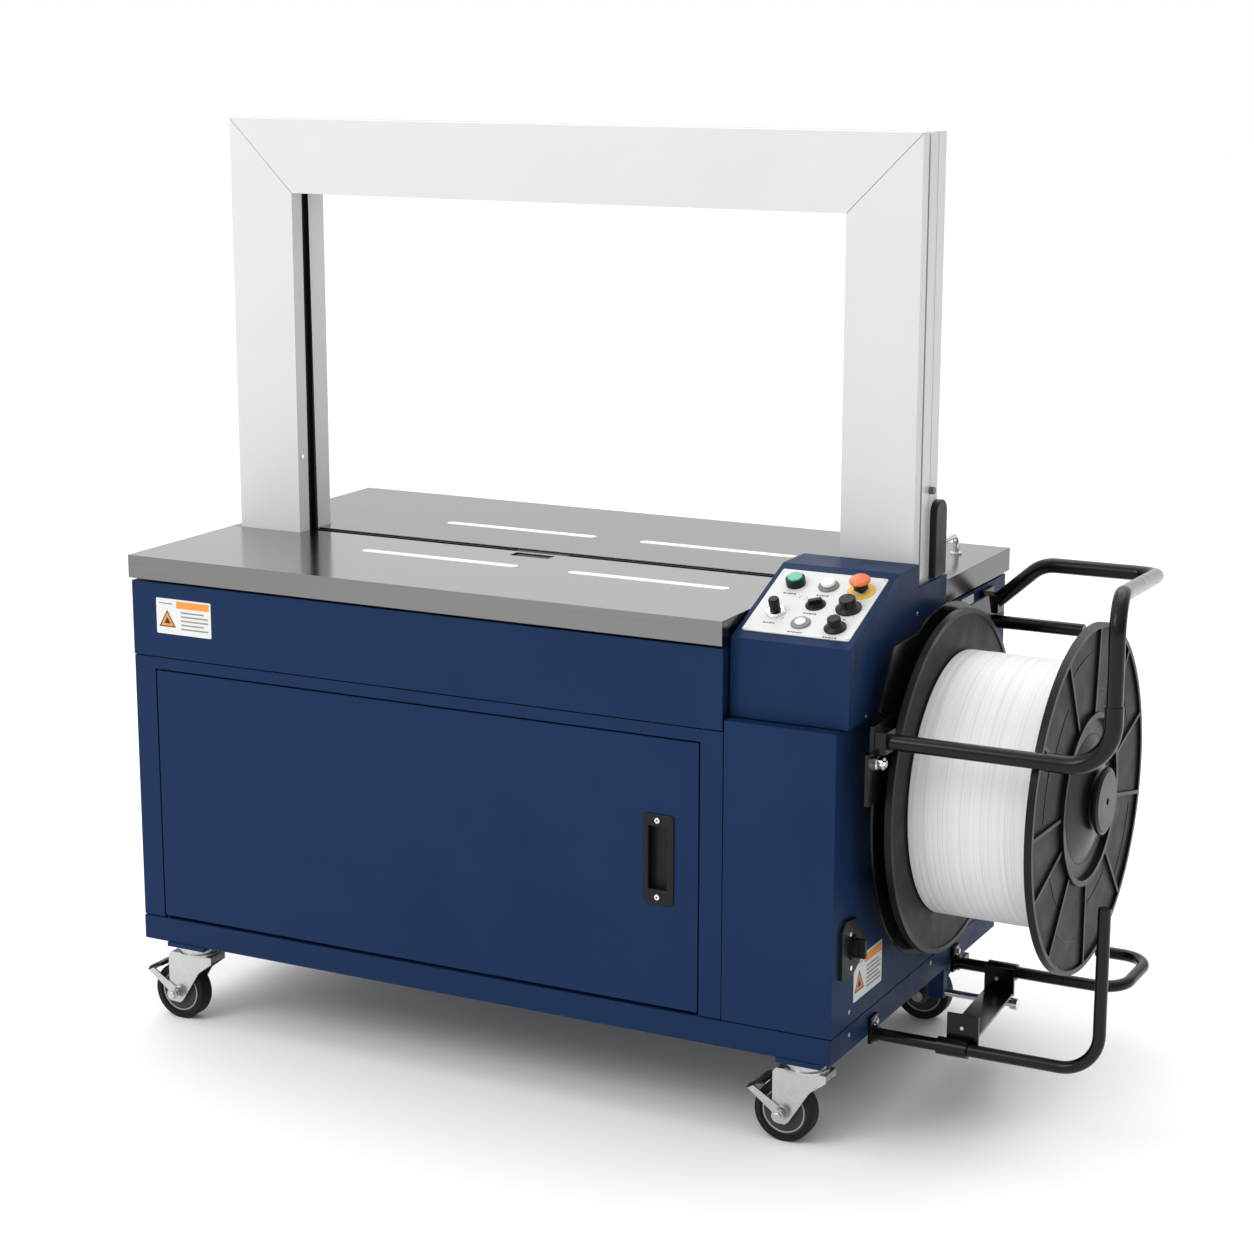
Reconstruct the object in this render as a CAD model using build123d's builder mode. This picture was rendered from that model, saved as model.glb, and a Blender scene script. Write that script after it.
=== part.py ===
from build123d import *
import math
import os

# Semi automatic strapping machine: a cabinet on four casters with a hinged two-piece table,
# a strap arch standing on the table, a control console, and a strap reel inside tube guards.
# Distances named here are in millimetres, counted from the table's left end (x), from the
# table's front lip (y) and from the floor (z). at() turns them into the part's own frame.

# ---- driving dimensions ----
TABLE_L, TABLE_D, TABLE_Z = 1303, 754, 830
TABLE_LIP, TABLE_T, LIP_T = 39, 3, 2
CAB_X0, CAB_X1, CAB_Y0, CAB_Y1 = 3, 1300, 4, 745
BASE_Z0, BASE_Z1 = 148, 190
SHEET = 2
POST = 30
PANEL_TOP = 786

ARCH_X0, ARCH_X1, ARCH_Y0, ARCH_Y1 = 20, 1300, 303, 400
ARCH_Z0, ARCH_TOP, ARCH_W = 790, 1548, 125

CONSOLE_X0, CONSOLE_X1, CONSOLE_Y0, CONSOLE_Y1 = 1114, 1310, 27, 302
CONSOLE_Z0, CONSOLE_Z1, CONSOLE_TOP, SLOPE_Y1 = 677, 801, 882, 220

REEL_Y, REEL_Z, FLANGE_R, COIL_R, SPINDLE_R = 355, 523, 279, 213, 20
FLANGE_IN_X, FLANGE_OUT_X, HUB_END_X = 1355, 1580, 1614

GUARD_R, LOW_GUARD_R = 12.5, 10
GUARD_Y, GUARD_Z, GUARD_X, GUARD_TOP = 71, 656, 1703, 914
LOOP_Y, LOOP_Z, LOOP_X, STUB_Z = 640, 831, 1597, 725

WHEEL_R, WHEEL_W, AXLE_R, TRAIL = 50, 30, 6, 34
FRONT_AXLE_Y, REAR_AXLE_Y = 40, 635
LEFT_AXLE_X, RIGHT_AXLE_X = 55, 1213
PEDAL_R1, PEDAL_A1 = 68, 150
ELBOW_R = 14

STEM_R, STEM_HOLE_R = 3.5, 4.5

X_MIN = LEFT_AXLE_X + PEDAL_R1 * math.cos(math.radians(PEDAL_A1))
X_MAX = GUARD_X + ELBOW_R
MID_X, MID_Y = (X_MIN + X_MAX) / 2, TABLE_D / 2

os.makedirs("parts", exist_ok=True)


def at(x, y, z=0.0):
    """The part-frame point at these distances from the table's left end, its lip and the floor."""
    return Vector(x - MID_X, y - MID_Y, z)


def save(part, label):
    """Name a finished piece and write it."""
    part.label = label
    export_step(part, f"parts/{label}.step")


def block(x0, x1, y0, y1, z0, z1, mode=Mode.ADD):
    """A box between two corners."""
    with Locations(at((x0 + x1) / 2, (y0 + y1) / 2, (z0 + z1) / 2)):
        Box(x1 - x0, y1 - y0, z1 - z0, mode=mode)


def disc_x(x0, x1, y, z, radius, mode=Mode.ADD):
    """A cylinder lying along X."""
    with Locations(Location(at((x0 + x1) / 2, y, z), (0, 90, 0))):
        Cylinder(radius, x1 - x0, mode=mode)


def ring_x(x0, x1, y, z, outer, inner):
    """A ring lying along X."""
    with Locations(Location(at((x0 + x1) / 2, y, z), (0, 90, 0))):
        Cylinder(outer, x1 - x0)
        Cylinder(inner, x1 - x0, mode=Mode.SUBTRACT)


def disc_y(x, y0, y1, z, radius, mode=Mode.ADD):
    """A cylinder lying along Y."""
    with Locations(Location(at(x, (y0 + y1) / 2, z), (90, 0, 0))):
        Cylinder(radius, y1 - y0, mode=mode)


def disc_z(x, y, z0, z1, radius, mode=Mode.ADD):
    """An upright cylinder."""
    with Locations(at(x, y, (z0 + z1) / 2)):
        Cylinder(radius, z1 - z0, mode=mode)


def tube_along(points, radii, radius, mode=Mode.ADD):
    """A round bar along straight runs joined by tangent arcs."""
    with BuildLine() as route:
        if radii:
            FilletPolyline(*points, radius=radii)
        else:
            Polyline(*points)
    with BuildSketch(Plane(origin=points[0], z_dir=points[1] - points[0])) as section:
        Circle(radius)
    sweep(sections=section.sketch, path=route.line, mode=mode)


# ---- cabinet: welded frame and its sheet covers ----
DOOR_X0, DOOR_X1, DOOR_Z0, DOOR_Z1 = 48, 1072, 196, 633
HINGE_X, HINGE_Y, HINGE_PIN_R = 52, 9, 2.5
STILE_X1 = 1113
BAND_Z1 = 656
SWIVEL_X = (LEFT_AXLE_X + TRAIL, RIGHT_AXLE_X + TRAIL)
SWIVEL_Y = (FRONT_AXLE_Y, REAR_AXLE_Y)
PAD, PAD_Z = 76, 140
FRAME_Y0, FRAME_X0, FRAME_X1 = CAB_Y0 + 5, CAB_X0 + 2, CAB_X1 - 2
ARCH_FOOT_Z, ARCH_FOOT_L = 745, 145
KINGPIN_R, KINGPIN_TOP = 8, 147
ROD_Y, ROD_Z = 510, 102
DECK_X0, DECK_X1, DECK_Y0, DECK_Y1, DECK_Z = 400, 820, 240, 470, 470
WELD = 0.2
RAIL_Z0, SIDE_RAIL_Z0, SIDE_RAIL_Z1 = PANEL_TOP - POST, 625, 655
TABLE_HINGE_Y, TABLE_HINGE_Z, TABLE_PIN_R, KNUCKLE_R, KNUCKLE_L = 9, 799, 3, 6, 16
FRONT_HINGES, REAR_HINGES = (66, 1021), (66, 1218)

# The frame's bars meet at weld lines and stay separate solids, a hair apart.
with BuildPart() as cabinet_frame:
    for y0 in (CAB_Y0, CAB_Y1 - 40):
        block(CAB_X0, CAB_X1, y0, y0 + 40, BASE_Z0, BASE_Z1)
    inner_y0, inner_y1 = CAB_Y0 + 40 + WELD, CAB_Y1 - 40 - WELD
    for x0 in (CAB_X0, CAB_X1 - 40):
        block(x0, x0 + 40, inner_y0, inner_y1, BASE_Z0, BASE_Z1)
    for x0, x1 in ((SWIVEL_X[0] - 30, SWIVEL_X[0] + 30), (SWIVEL_X[1] - 30, CAB_X1 - 40 - WELD)):
        block(x0, x1, inner_y0, inner_y1, BASE_Z0, BASE_Z0 + 12)
    for x in SWIVEL_X:
        for y in SWIVEL_Y:
            block(x - PAD / 2, x + PAD / 2, y - PAD / 2, y + PAD / 2, PAD_Z, BASE_Z0 - WELD)
            disc_z(x, y, PAD_Z - 1, BASE_Z0 - WELD, KINGPIN_R + 0.05, mode=Mode.SUBTRACT)
    for x0 in (FRAME_X0, FRAME_X1 - POST):
        for y0 in (FRAME_Y0, CAB_Y1 - SHEET - POST):
            top = CONSOLE_Z0 - 5 if x0 > FRAME_X0 and y0 == FRAME_Y0 else PANEL_TOP
            block(x0, x0 + POST, y0, y0 + POST, BASE_Z1 + WELD, top)
    for x0 in (FRAME_X0, FRAME_X1 - 13):
        block(x0, x0 + 13, FRAME_Y0 + POST + WELD, CAB_Y1 - SHEET - POST - WELD, SIDE_RAIL_Z0, SIDE_RAIL_Z1)
        block(x0, x0 + 13, ARCH_Y0 + 20, ARCH_Y0 + 60, SIDE_RAIL_Z1 + WELD, ARCH_FOOT_Z - WELD)
    block(FRAME_X0 + POST + WELD, 1108, FRAME_Y0, FRAME_Y0 + POST, RAIL_Z0, PANEL_TOP)
    block(1078, 1108, FRAME_Y0, FRAME_Y0 + POST, BASE_Z1 + WELD, RAIL_Z0 - WELD)
    rear_y0 = CAB_Y1 - SHEET - POST
    block(FRAME_X0 + POST + WELD, FRAME_X1 - POST - WELD, rear_y0, rear_y0 + POST, RAIL_Z0, PANEL_TOP)
    for x0 in (FRAME_X0, FRAME_X1 - ARCH_FOOT_L):
        block(x0, x0 + ARCH_FOOT_L, ARCH_Y0 - 4, ARCH_Y1 + 4, ARCH_FOOT_Z, ARCH_Z0)
    for x0 in (DECK_X0, DECK_X1 - POST):
        block(x0, x0 + POST, inner_y0, inner_y1, DECK_Z - POST, DECK_Z)
        for y0 in (CAB_Y0 + 23, CAB_Y1 - 40):
            block(x0, x0 + POST, y0, y0 + 17, BASE_Z1 + WELD, DECK_Z)
    block(DECK_X0, DECK_X1, DECK_Y0, DECK_Y1, DECK_Z + WELD, DECK_Z + 6)
    block(CAB_X1 - 30, CAB_X1 - 2, ROD_Y - 9, ROD_Y + 9, ROD_Z - 9, BASE_Z0 - WELD)
    disc_z(HINGE_X, HINGE_Y, BASE_Z1 - 8, BASE_Z1 + 1, HINGE_PIN_R + 0.05, mode=Mode.SUBTRACT)
    for spots, flip in ((FRONT_HINGES, False), (REAR_HINGES, True)):
        arm = (TABLE_HINGE_Y + KNUCKLE_R - 1, 30)
        post = (22, 30)
        axis_y = TABLE_HINGE_Y
        if flip:
            arm = (TABLE_D - arm[1], TABLE_D - arm[0])
            post = (TABLE_D - post[1], TABLE_D - post[0])
            axis_y = TABLE_D - axis_y
        for x0 in spots:
            disc_x(x0, x0 + KNUCKLE_L, axis_y, TABLE_HINGE_Z, KNUCKLE_R)
            block(x0, x0 + KNUCKLE_L, *arm, TABLE_HINGE_Z - 2, TABLE_HINGE_Z + 2)
            block(x0, x0 + KNUCKLE_L, *post, PANEL_TOP + WELD, TABLE_HINGE_Z - 2)
            disc_x(x0 - 1, x0 + KNUCKLE_L + 1, axis_y, TABLE_HINGE_Z, TABLE_PIN_R + 0.05, mode=Mode.SUBTRACT)
save(cabinet_frame.part, "cabinet_frame")

with BuildPart() as front_upper_panel:
    block(CAB_X0, 1112, CAB_Y0, CAB_Y0 + SHEET, BAND_Z1 + 2, PANEL_TOP)
    block(CAB_X0 + 5, 1108, CAB_Y0 + SHEET, CAB_Y0 + 5, BAND_Z1 + 2, BAND_Z1 + 4)
save(front_upper_panel.part, "front_upper_panel")

with BuildPart() as door_surround:
    block(CAB_X0, STILE_X1, CAB_Y0 + 1, CAB_Y0 + 3, BASE_Z1 + 2, BAND_Z1)
    block(DOOR_X0 - 3, DOOR_X1 + 3, CAB_Y0, CAB_Y0 + 4, BASE_Z1 + 2, DOOR_Z1 + 3, mode=Mode.SUBTRACT)
    block(DOOR_X0 - 3, HINGE_X + 10, CAB_Y0 + 1.5, HINGE_Y + 6, DOOR_Z1 + 3, DOOR_Z1 + 8)
    disc_z(HINGE_X, HINGE_Y, DOOR_Z1, DOOR_Z1 + 12, HINGE_PIN_R + 0.05, mode=Mode.SUBTRACT)
save(door_surround.part, "door_surround")

with BuildPart() as front_lower_panel:
    block(STILE_X1 + 2, CAB_X1 - SHEET, CAB_Y0, CAB_Y0 + SHEET, BASE_Z1 + 2, CONSOLE_Z0 - 2)
    block(STILE_X1 + 2, CAB_X1 - SHEET, CAB_Y0 + SHEET, CONSOLE_Y0 + 6, CONSOLE_Z0 - 4, CONSOLE_Z0 - 2)
save(front_lower_panel.part, "front_lower_panel")

with BuildPart() as left_side_panel:
    block(CAB_X0, CAB_X0 + SHEET, CAB_Y0 + 4, CAB_Y1 - SHEET, BASE_Z1 + 2, PANEL_TOP)
save(left_side_panel.part, "left_side_panel")

SIDE_SEAM_Y, CHEEK_Y1 = 626, 428
with BuildPart() as right_side_panel:
    block(CAB_X1 - SHEET, CAB_X1, CAB_Y0, SIDE_SEAM_Y - 1, BASE_Z1 + 2, PANEL_TOP)
    block(CAB_X1 - SHEET, CAB_X1, SIDE_SEAM_Y + 1, CAB_Y1 - SHEET, BASE_Z1 + 2, PANEL_TOP)
    block(CAB_X1 - 5, CAB_X1 + 1, CAB_Y0 - 1, ARCH_Y0 - 10, CONSOLE_Z0 - 3, PANEL_TOP + 1,
          mode=Mode.SUBTRACT)
save(right_side_panel.part, "right_side_panel")

VENT_W, VENT_H, VENT_STEP = 130, 6, 18
with BuildPart() as rear_panel:
    block(CAB_X0 + SHEET, CAB_X1 - SHEET, CAB_Y1 - SHEET, CAB_Y1, BASE_Z1 + 2, PANEL_TOP)
    with BuildSketch(Plane(at(0, CAB_Y1, 0), x_dir=(1, 0, 0), z_dir=(0, -1, 0))):
        for x in (320, 980):
            for row in range(7):
                with Locations((x, 520 + row * VENT_STEP)):
                    SlotOverall(VENT_W, VENT_H)
    extrude(amount=SHEET, mode=Mode.SUBTRACT)
save(rear_panel.part, "rear_panel")

# ---- door with its recessed handle, hung on two pins at the left ----
HANDLE_X0, HANDLE_X1, HANDLE_Z0, HANDLE_Z1 = 979, 1031, 364, 511
CUP_X0, CUP_X1, CUP_Z0, CUP_Z1 = 987, 1019, 388, 491
DOOR_FACE_Y, DOOR_T = CAB_Y0 + 1, 18

with BuildPart() as door_panel:
    block(DOOR_X0, DOOR_X1, DOOR_FACE_Y, DOOR_FACE_Y + DOOR_T, DOOR_Z0, DOOR_Z1)
    block(DOOR_X0 + 2, DOOR_X1 - 2, DOOR_FACE_Y + 1.5, DOOR_FACE_Y + DOOR_T + 1,
          DOOR_Z0 + 2, DOOR_Z1 - 2, mode=Mode.SUBTRACT)
    block(CUP_X0 - 3, CUP_X1 + 3, DOOR_FACE_Y - 1, DOOR_FACE_Y + 2, CUP_Z0 - 3, CUP_Z1 + 3,
          mode=Mode.SUBTRACT)
    block(DOOR_X0 + 2, HINGE_X + 6, DOOR_FACE_Y + 1.5, DOOR_FACE_Y + 8, DOOR_Z0 + 2, DOOR_Z0 + 12)
    block(DOOR_X0 + 2, HINGE_X + 6, DOOR_FACE_Y + 1.5, DOOR_FACE_Y + 8, DOOR_Z1 - 12, DOOR_Z1 - 2)
    disc_z(HINGE_X, HINGE_Y, BASE_Z1 - 6, DOOR_Z0, HINGE_PIN_R)
    disc_z(HINGE_X, HINGE_Y, DOOR_Z1, DOOR_Z1 + 10, HINGE_PIN_R)
save(door_panel.part, "door_panel")

with BuildPart() as door_handle:
    block(HANDLE_X0, HANDLE_X1, DOOR_FACE_Y - 3, DOOR_FACE_Y, HANDLE_Z0, HANDLE_Z1)
    fillet(door_handle.edges().filter_by(Axis.Y), radius=6)
    block(CUP_X0 - 2, CUP_X1 + 2, DOOR_FACE_Y, DOOR_FACE_Y + 15, CUP_Z0 - 2, CUP_Z1 + 2)
    block(CUP_X0, CUP_X1, DOOR_FACE_Y - 4, DOOR_FACE_Y + 13, CUP_Z0, CUP_Z1, mode=Mode.SUBTRACT)
    chamfer(door_handle.edges().group_by(Axis.Y)[0], length=0.8)
    for z in (CUP_Z0 - 12, CUP_Z1 + 10):
        disc_y((CUP_X0 + CUP_X1) / 2, DOOR_FACE_Y - 4.2, DOOR_FACE_Y - 2, z, 5)
save(door_handle.part, "door_handle")

# ---- table: two stainless plates, each hinged on its outer long edge ----
GAP_Y0, GAP_Y1 = 333, 361
FRONT_X1 = 1112
COLUMN_IN_X0, COLUMN_IN_X1 = ARCH_X0 + ARCH_W + 2, ARCH_X1 - ARCH_W - 2
SLOT_W, SLOT_FRONT_Y, SLOT_BACK_Y = 20, 219, 508
FRONT_SLOTS = ((330, 634), (730, 1021))
REAR_SLOTS = ((326, 628), (715, 1010))
HEAD_X0, HEAD_X1, HEAD_Y0, HEAD_Y1 = 573, 647, 298, 326


def slot_sketch(spans, y, width, height):
    """Long round-ended slots seen from above, at one height."""
    with BuildSketch(Plane.XY.offset(height)) as outline:
        for x0, x1 in spans:
            centre = at((x0 + x1) / 2, y)
            with Locations((centre.X, centre.Y)):
                SlotOverall(x1 - x0, width)
    return outline.sketch


with BuildPart() as front_table_plate:
    top = TABLE_Z - TABLE_T
    block(0, FRONT_X1, 0, ARCH_Y0 - 2, top, TABLE_Z)
    block(COLUMN_IN_X0, FRONT_X1, ARCH_Y0 - 2, GAP_Y0, top, TABLE_Z)
    block(0, FRONT_X1, 0, LIP_T, TABLE_Z - TABLE_LIP, top)
    block(0, LIP_T, LIP_T, ARCH_Y0 - 2, TABLE_Z - TABLE_LIP, top)
    block(FRONT_X1 - LIP_T, FRONT_X1, LIP_T, 25, TABLE_Z - TABLE_LIP, top)
    block(FRONT_X1 - LIP_T, FRONT_X1, 25, GAP_Y0, top - 12, top)
    block(COLUMN_IN_X0, FRONT_X1 - LIP_T, GAP_Y0 - LIP_T, GAP_Y0, top - 12, top)
    block(HEAD_X0, HEAD_X1, HEAD_Y0, HEAD_Y1, top - 1, TABLE_Z + 1, mode=Mode.SUBTRACT)
    extrude(slot_sketch(FRONT_SLOTS, SLOT_FRONT_Y, SLOT_W, TABLE_Z - 5), amount=6, mode=Mode.SUBTRACT)
    for x0 in FRONT_HINGES:
        block(x0 - 6, x0 - 3, LIP_T, TABLE_HINGE_Y + 4, TABLE_HINGE_Z - 5, top)
        disc_x(x0 - 6, x0 + KNUCKLE_L, TABLE_HINGE_Y, TABLE_HINGE_Z, TABLE_PIN_R)
save(front_table_plate.part, "front_table_plate")

with BuildPart() as rear_table_plate:
    top = TABLE_Z - TABLE_T
    rear_y0 = ARCH_Y1 + 2
    block(0, CAB_X1 - 2, rear_y0, CHEEK_Y1 + 4, top, TABLE_Z)
    block(0, TABLE_L, CHEEK_Y1 + 4, TABLE_D, top, TABLE_Z)
    block(COLUMN_IN_X0, COLUMN_IN_X1, GAP_Y1, rear_y0, top, TABLE_Z)
    block(0, ARCH_X0 - 2, ARCH_Y0, rear_y0, top, TABLE_Z)
    block(0, TABLE_L, TABLE_D - LIP_T, TABLE_D, TABLE_Z - TABLE_LIP, top)
    block(0, LIP_T, ARCH_Y0, TABLE_D - LIP_T, TABLE_Z - TABLE_LIP, top)
    block(TABLE_L - LIP_T, TABLE_L, CHEEK_Y1 + 4, TABLE_D - LIP_T, TABLE_Z - TABLE_LIP, top)
    block(COLUMN_IN_X0, COLUMN_IN_X1, GAP_Y1, GAP_Y1 + LIP_T, top - 12, top)
    extrude(slot_sketch(REAR_SLOTS, SLOT_BACK_Y, SLOT_W, TABLE_Z - 5), amount=6, mode=Mode.SUBTRACT)
    hinge_y = TABLE_D - TABLE_HINGE_Y
    for x0 in REAR_HINGES:
        block(x0 - 6, x0 - 3, hinge_y - 4, TABLE_D - LIP_T, TABLE_HINGE_Z - 5, top)
        disc_x(x0 - 6, x0 + KNUCKLE_L, hinge_y, TABLE_HINGE_Z, TABLE_PIN_R)
save(rear_table_plate.part, "rear_table_plate")

for spans, y, label in ((FRONT_SLOTS, SLOT_FRONT_Y, "front_glide_strips"),
                        (REAR_SLOTS, SLOT_BACK_Y, "rear_glide_strips")):
    shorter = [(x0 + 0.3, x1 - 0.3) for x0, x1 in spans]
    with BuildPart() as glide_strips:
        extrude(slot_sketch(shorter, y, SLOT_W - 0.6, TABLE_Z - 5), amount=5.6)
        fillet(glide_strips.edges().group_by(Axis.Z)[-1], radius=0.5)
    save(glide_strips.part, label)

LIFT_X, LIFT_Y0, LIFT_Y1, LIFT_H, LIFT_R = 1240, 560, 658, 38, 5
with BuildPart() as lift_handle:
    top = TABLE_Z + LIFT_H - LIFT_R
    bail = [at(LIFT_X, LIFT_Y0, TABLE_Z + 3), at(LIFT_X, LIFT_Y0, top),
            at(LIFT_X, LIFT_Y1, top), at(LIFT_X, LIFT_Y1, TABLE_Z + 3)]
    tube_along(bail, [16, 16], LIFT_R)
    for y in (LIFT_Y0, LIFT_Y1):
        disc_z(LIFT_X, y, TABLE_Z, TABLE_Z + 3, 10)
save(lift_handle.part, "lift_handle")

# ---- strap arch: front and back covers with the strap track between them ----


def arch_ring(inset, width, y0, y1, mode=Mode.ADD):
    """An upside-down U of this width, set in from the arch's outline, from one y to another."""
    low = at(ARCH_X0 + inset, y1, ARCH_Z0)
    high = at(ARCH_X1 - inset, y1, ARCH_TOP - inset)
    with BuildSketch(Plane((0, low.Y, 0), x_dir=(1, 0, 0), z_dir=(0, -1, 0))) as outline:
        with Locations(((low.X + high.X) / 2, (low.Z + high.Z) / 2)):
            Rectangle(high.X - low.X, high.Z - low.Z)
        with Locations(((low.X + high.X) / 2, (low.Z + high.Z - width) / 2)):
            Rectangle(high.X - low.X - 2 * width, high.Z - low.Z - width, mode=Mode.SUBTRACT)
    extrude(outline.sketch, amount=y1 - y0, mode=mode)


MITRE_GAP = 0.8
with BuildPart() as arch_front_cover:
    arch_ring(0, ARCH_W, ARCH_Y0, ARCH_Y0 + SHEET)
    arch_ring(0, SHEET, ARCH_Y0 + SHEET, ARCH_Y0 + 23)
    arch_ring(ARCH_W - SHEET, SHEET, ARCH_Y0 + SHEET, ARCH_Y0 + 30)
    for x, turn in ((ARCH_X0 + ARCH_W / 2, -45), (ARCH_X1 - ARCH_W / 2, 45)):
        with Locations(Location(at(x, ARCH_Y0 + 20, ARCH_TOP - ARCH_W / 2), (0, turn, 0))):
            Box(MITRE_GAP, 60, 2 * ARCH_W, mode=Mode.SUBTRACT)
save(arch_front_cover.part, "arch_front_cover")

with BuildPart() as arch_back_cover:
    arch_ring(0, ARCH_W, ARCH_Y1 - SHEET, ARCH_Y1)
    arch_ring(0, SHEET, ARCH_Y0 + 65, ARCH_Y1 - SHEET)
    arch_ring(ARCH_W - SHEET, SHEET, ARCH_Y0 + 58, ARCH_Y1 - SHEET)
save(arch_back_cover.part, "arch_back_cover")

with BuildPart() as strap_track:
    arch_ring(0.5, 3, ARCH_Y0 + 31, ARCH_Y0 + 64.5)
    arch_ring(3.5, 105, ARCH_Y0 + 42, ARCH_Y0 + 46)
    arch_ring(108.5, 10.5, ARCH_Y0 + 32, ARCH_Y0 + 50)
    arch_ring(108.5, 16.5, ARCH_Y0 + 50, ARCH_Y0 + 57.5)
save(strap_track.part, "strap_track")

BOOT_Y0, BOOT_Y1, BOOT_Z0, BOOT_Z1, BOOT_T = 371, 421, 847, 970, 11
with BuildPart() as column_boot:
    block(ARCH_X1, ARCH_X1 + BOOT_T, BOOT_Y0, BOOT_Y1, BOOT_Z0, BOOT_Z1)
    crown = column_boot.edges().filter_by(Axis.X).group_by(Axis.Z)[-1]
    fillet(crown, radius=21)
    fillet(column_boot.faces().sort_by(Axis.X)[-1].edges(), radius=3)
save(column_boot.part, "column_boot")

# ---- console: sheet housing with a sloping control plate ----
slope_run = SLOPE_Y1 - CONSOLE_Y0
slope_rise = CONSOLE_TOP - CONSOLE_Z1
SLOPE_L = math.hypot(slope_run, slope_rise)
SLOPE_DIR = Vector(0, slope_run / SLOPE_L, slope_rise / SLOPE_L)
SLOPE_NORMAL = Vector(0, -slope_rise / SLOPE_L, slope_run / SLOPE_L)
SLOPE_AXIS = Axis((0, 0, 0), SLOPE_NORMAL)


def slope_plane(x, along, height=0.0):
    """The plane on the console's slope at this x and distance up the slope."""
    foot = at(x, CONSOLE_Y0, CONSOLE_Z1) + SLOPE_DIR * along + SLOPE_NORMAL * height
    return Plane(foot, x_dir=(1, 0, 0), z_dir=SLOPE_NORMAL)


def console_profile(x, inset):
    """The housing's outline in its YZ plane, set in on the front, slope and top."""
    shift = inset * math.tan(math.atan2(slope_rise, slope_run) / 2)
    corner = inset * math.tan((math.pi / 2 - math.atan2(slope_rise, slope_run)) / 2)
    points = [(CONSOLE_Y0 + inset, CONSOLE_Z0), (CONSOLE_Y0 + inset, CONSOLE_Z1 - corner),
              (SLOPE_Y1 + shift, CONSOLE_TOP - inset), (CONSOLE_Y1, CONSOLE_TOP - inset),
              (CONSOLE_Y1, CONSOLE_Z0)]
    with BuildSketch(Plane(at(x, 0, 0), x_dir=(0, 1, 0), z_dir=(1, 0, 0))) as face:
        with BuildLine():
            Polyline(*points, close=True)
        make_face()
    return face.sketch


GREEN, WHITE, STOP = (1160, 152), (1214, 154), (1270, 150)
TOGGLE, SELECTOR, SPEED = (1159, 72), (1213, 102), (1268, 101)
FLUSH, TENSION = (1209, 51), (1267, 48)
CONTROLS = (GREEN, WHITE, STOP, TOGGLE, SELECTOR, SPEED, FLUSH, TENSION)
PLATE_T = 2

with BuildPart() as console_housing:
    extrude(console_profile(CONSOLE_X0, 0), amount=CONSOLE_X1 - CONSOLE_X0)
    extrude(console_profile(CONSOLE_X0 + SHEET, SHEET), amount=CONSOLE_X1 - CONSOLE_X0 - 2 * SHEET,
            mode=Mode.SUBTRACT)
    block(CONSOLE_X1 - 6, CONSOLE_X1, CONSOLE_Y1, CHEEK_Y1, CONSOLE_Z0, 844)
    block(CONSOLE_X0, CONSOLE_X0 + SHEET, CONSOLE_Y1 - 4, CONSOLE_Y1, TABLE_Z, CONSOLE_TOP - SHEET)
    block(CONSOLE_X0, CONSOLE_X1, CONSOLE_Y1 - SHEET, CONSOLE_Y1, TABLE_Z - 6, CONSOLE_TOP - SHEET)
    block(CONSOLE_X0, COLUMN_IN_X1 - 1, CONSOLE_Y1, GAP_Y0, TABLE_Z - 4, TABLE_Z - 1)
    for x, along in CONTROLS:
        with BuildSketch(slope_plane(x, along, -10)):
            Circle(STEM_HOLE_R)
        extrude(amount=12, mode=Mode.SUBTRACT)
save(console_housing.part, "console_housing")

with BuildPart() as control_plate:
    with BuildSketch(slope_plane(1211.5, 105)):
        RectangleRounded(177, 170, 4)
    extrude(amount=PLATE_T)
    chamfer(control_plate.faces().sort_by(SLOPE_AXIS)[-1].edges(), length=0.5)
    for x, along in CONTROLS:
        with BuildSketch(slope_plane(x, along, -1)):
            Circle(STEM_HOLE_R)
        extrude(amount=PLATE_T + 2, mode=Mode.SUBTRACT)
save(control_plate.part, "control_plate")

# ---- control bezels and the moving buttons and knobs ----


def turned(x, along, outline, mode=Mode.ADD):
    """Revolve an outline of (radius, height) points about the slope's normal at one control."""
    base = slope_plane(x, along)
    side = Plane(base.origin, x_dir=(1, 0, 0), z_dir=Vector(1, 0, 0).cross(SLOPE_NORMAL))
    with BuildSketch(side) as section:
        with BuildLine():
            Polyline(*outline, close=True)
        make_face()
    revolve(section.sketch, axis=Axis(base.origin, SLOPE_NORMAL), mode=mode)


def collar(inner, outer, height, edge=1.0):
    """The section of a ring standing on the control plate."""
    return [(inner, PLATE_T), (outer, PLATE_T), (outer, height - edge),
            (outer - edge, height), (inner, height)]


def capped_stem(radius, z0, z1, edge=1.0):
    """The section of a round cap on its stem."""
    return [(0, -8), (STEM_R, -8), (STEM_R, z0), (radius, z0), (radius, z1 - edge),
            (radius - edge, z1), (0, z1)]


with BuildPart() as control_bezels:
    turned(*GREEN, collar(12.5, 15.5, 14))
    turned(*WHITE, collar(12.0, 16.5, 6, 2))
    turned(*STOP, collar(12.0, 22.5, PLATE_T + 1.2, 0.4))
    turned(*TOGGLE, collar(9.0, 15.5, 7, 2))
    turned(*SELECTOR, collar(13.0, 16.0, 5, 1.5))
    turned(*FLUSH, collar(9.5, 15.5, 5.5, 1.5))
save(control_bezels.part, "control_bezels")

with BuildPart() as start_button:
    turned(*GREEN, capped_stem(12.0, 8, 17))
save(start_button.part, "start_button")

with BuildPart() as lamp_button:
    turned(*WHITE, capped_stem(11.5, 7, 12, 2))
save(lamp_button.part, "lamp_button")

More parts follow.
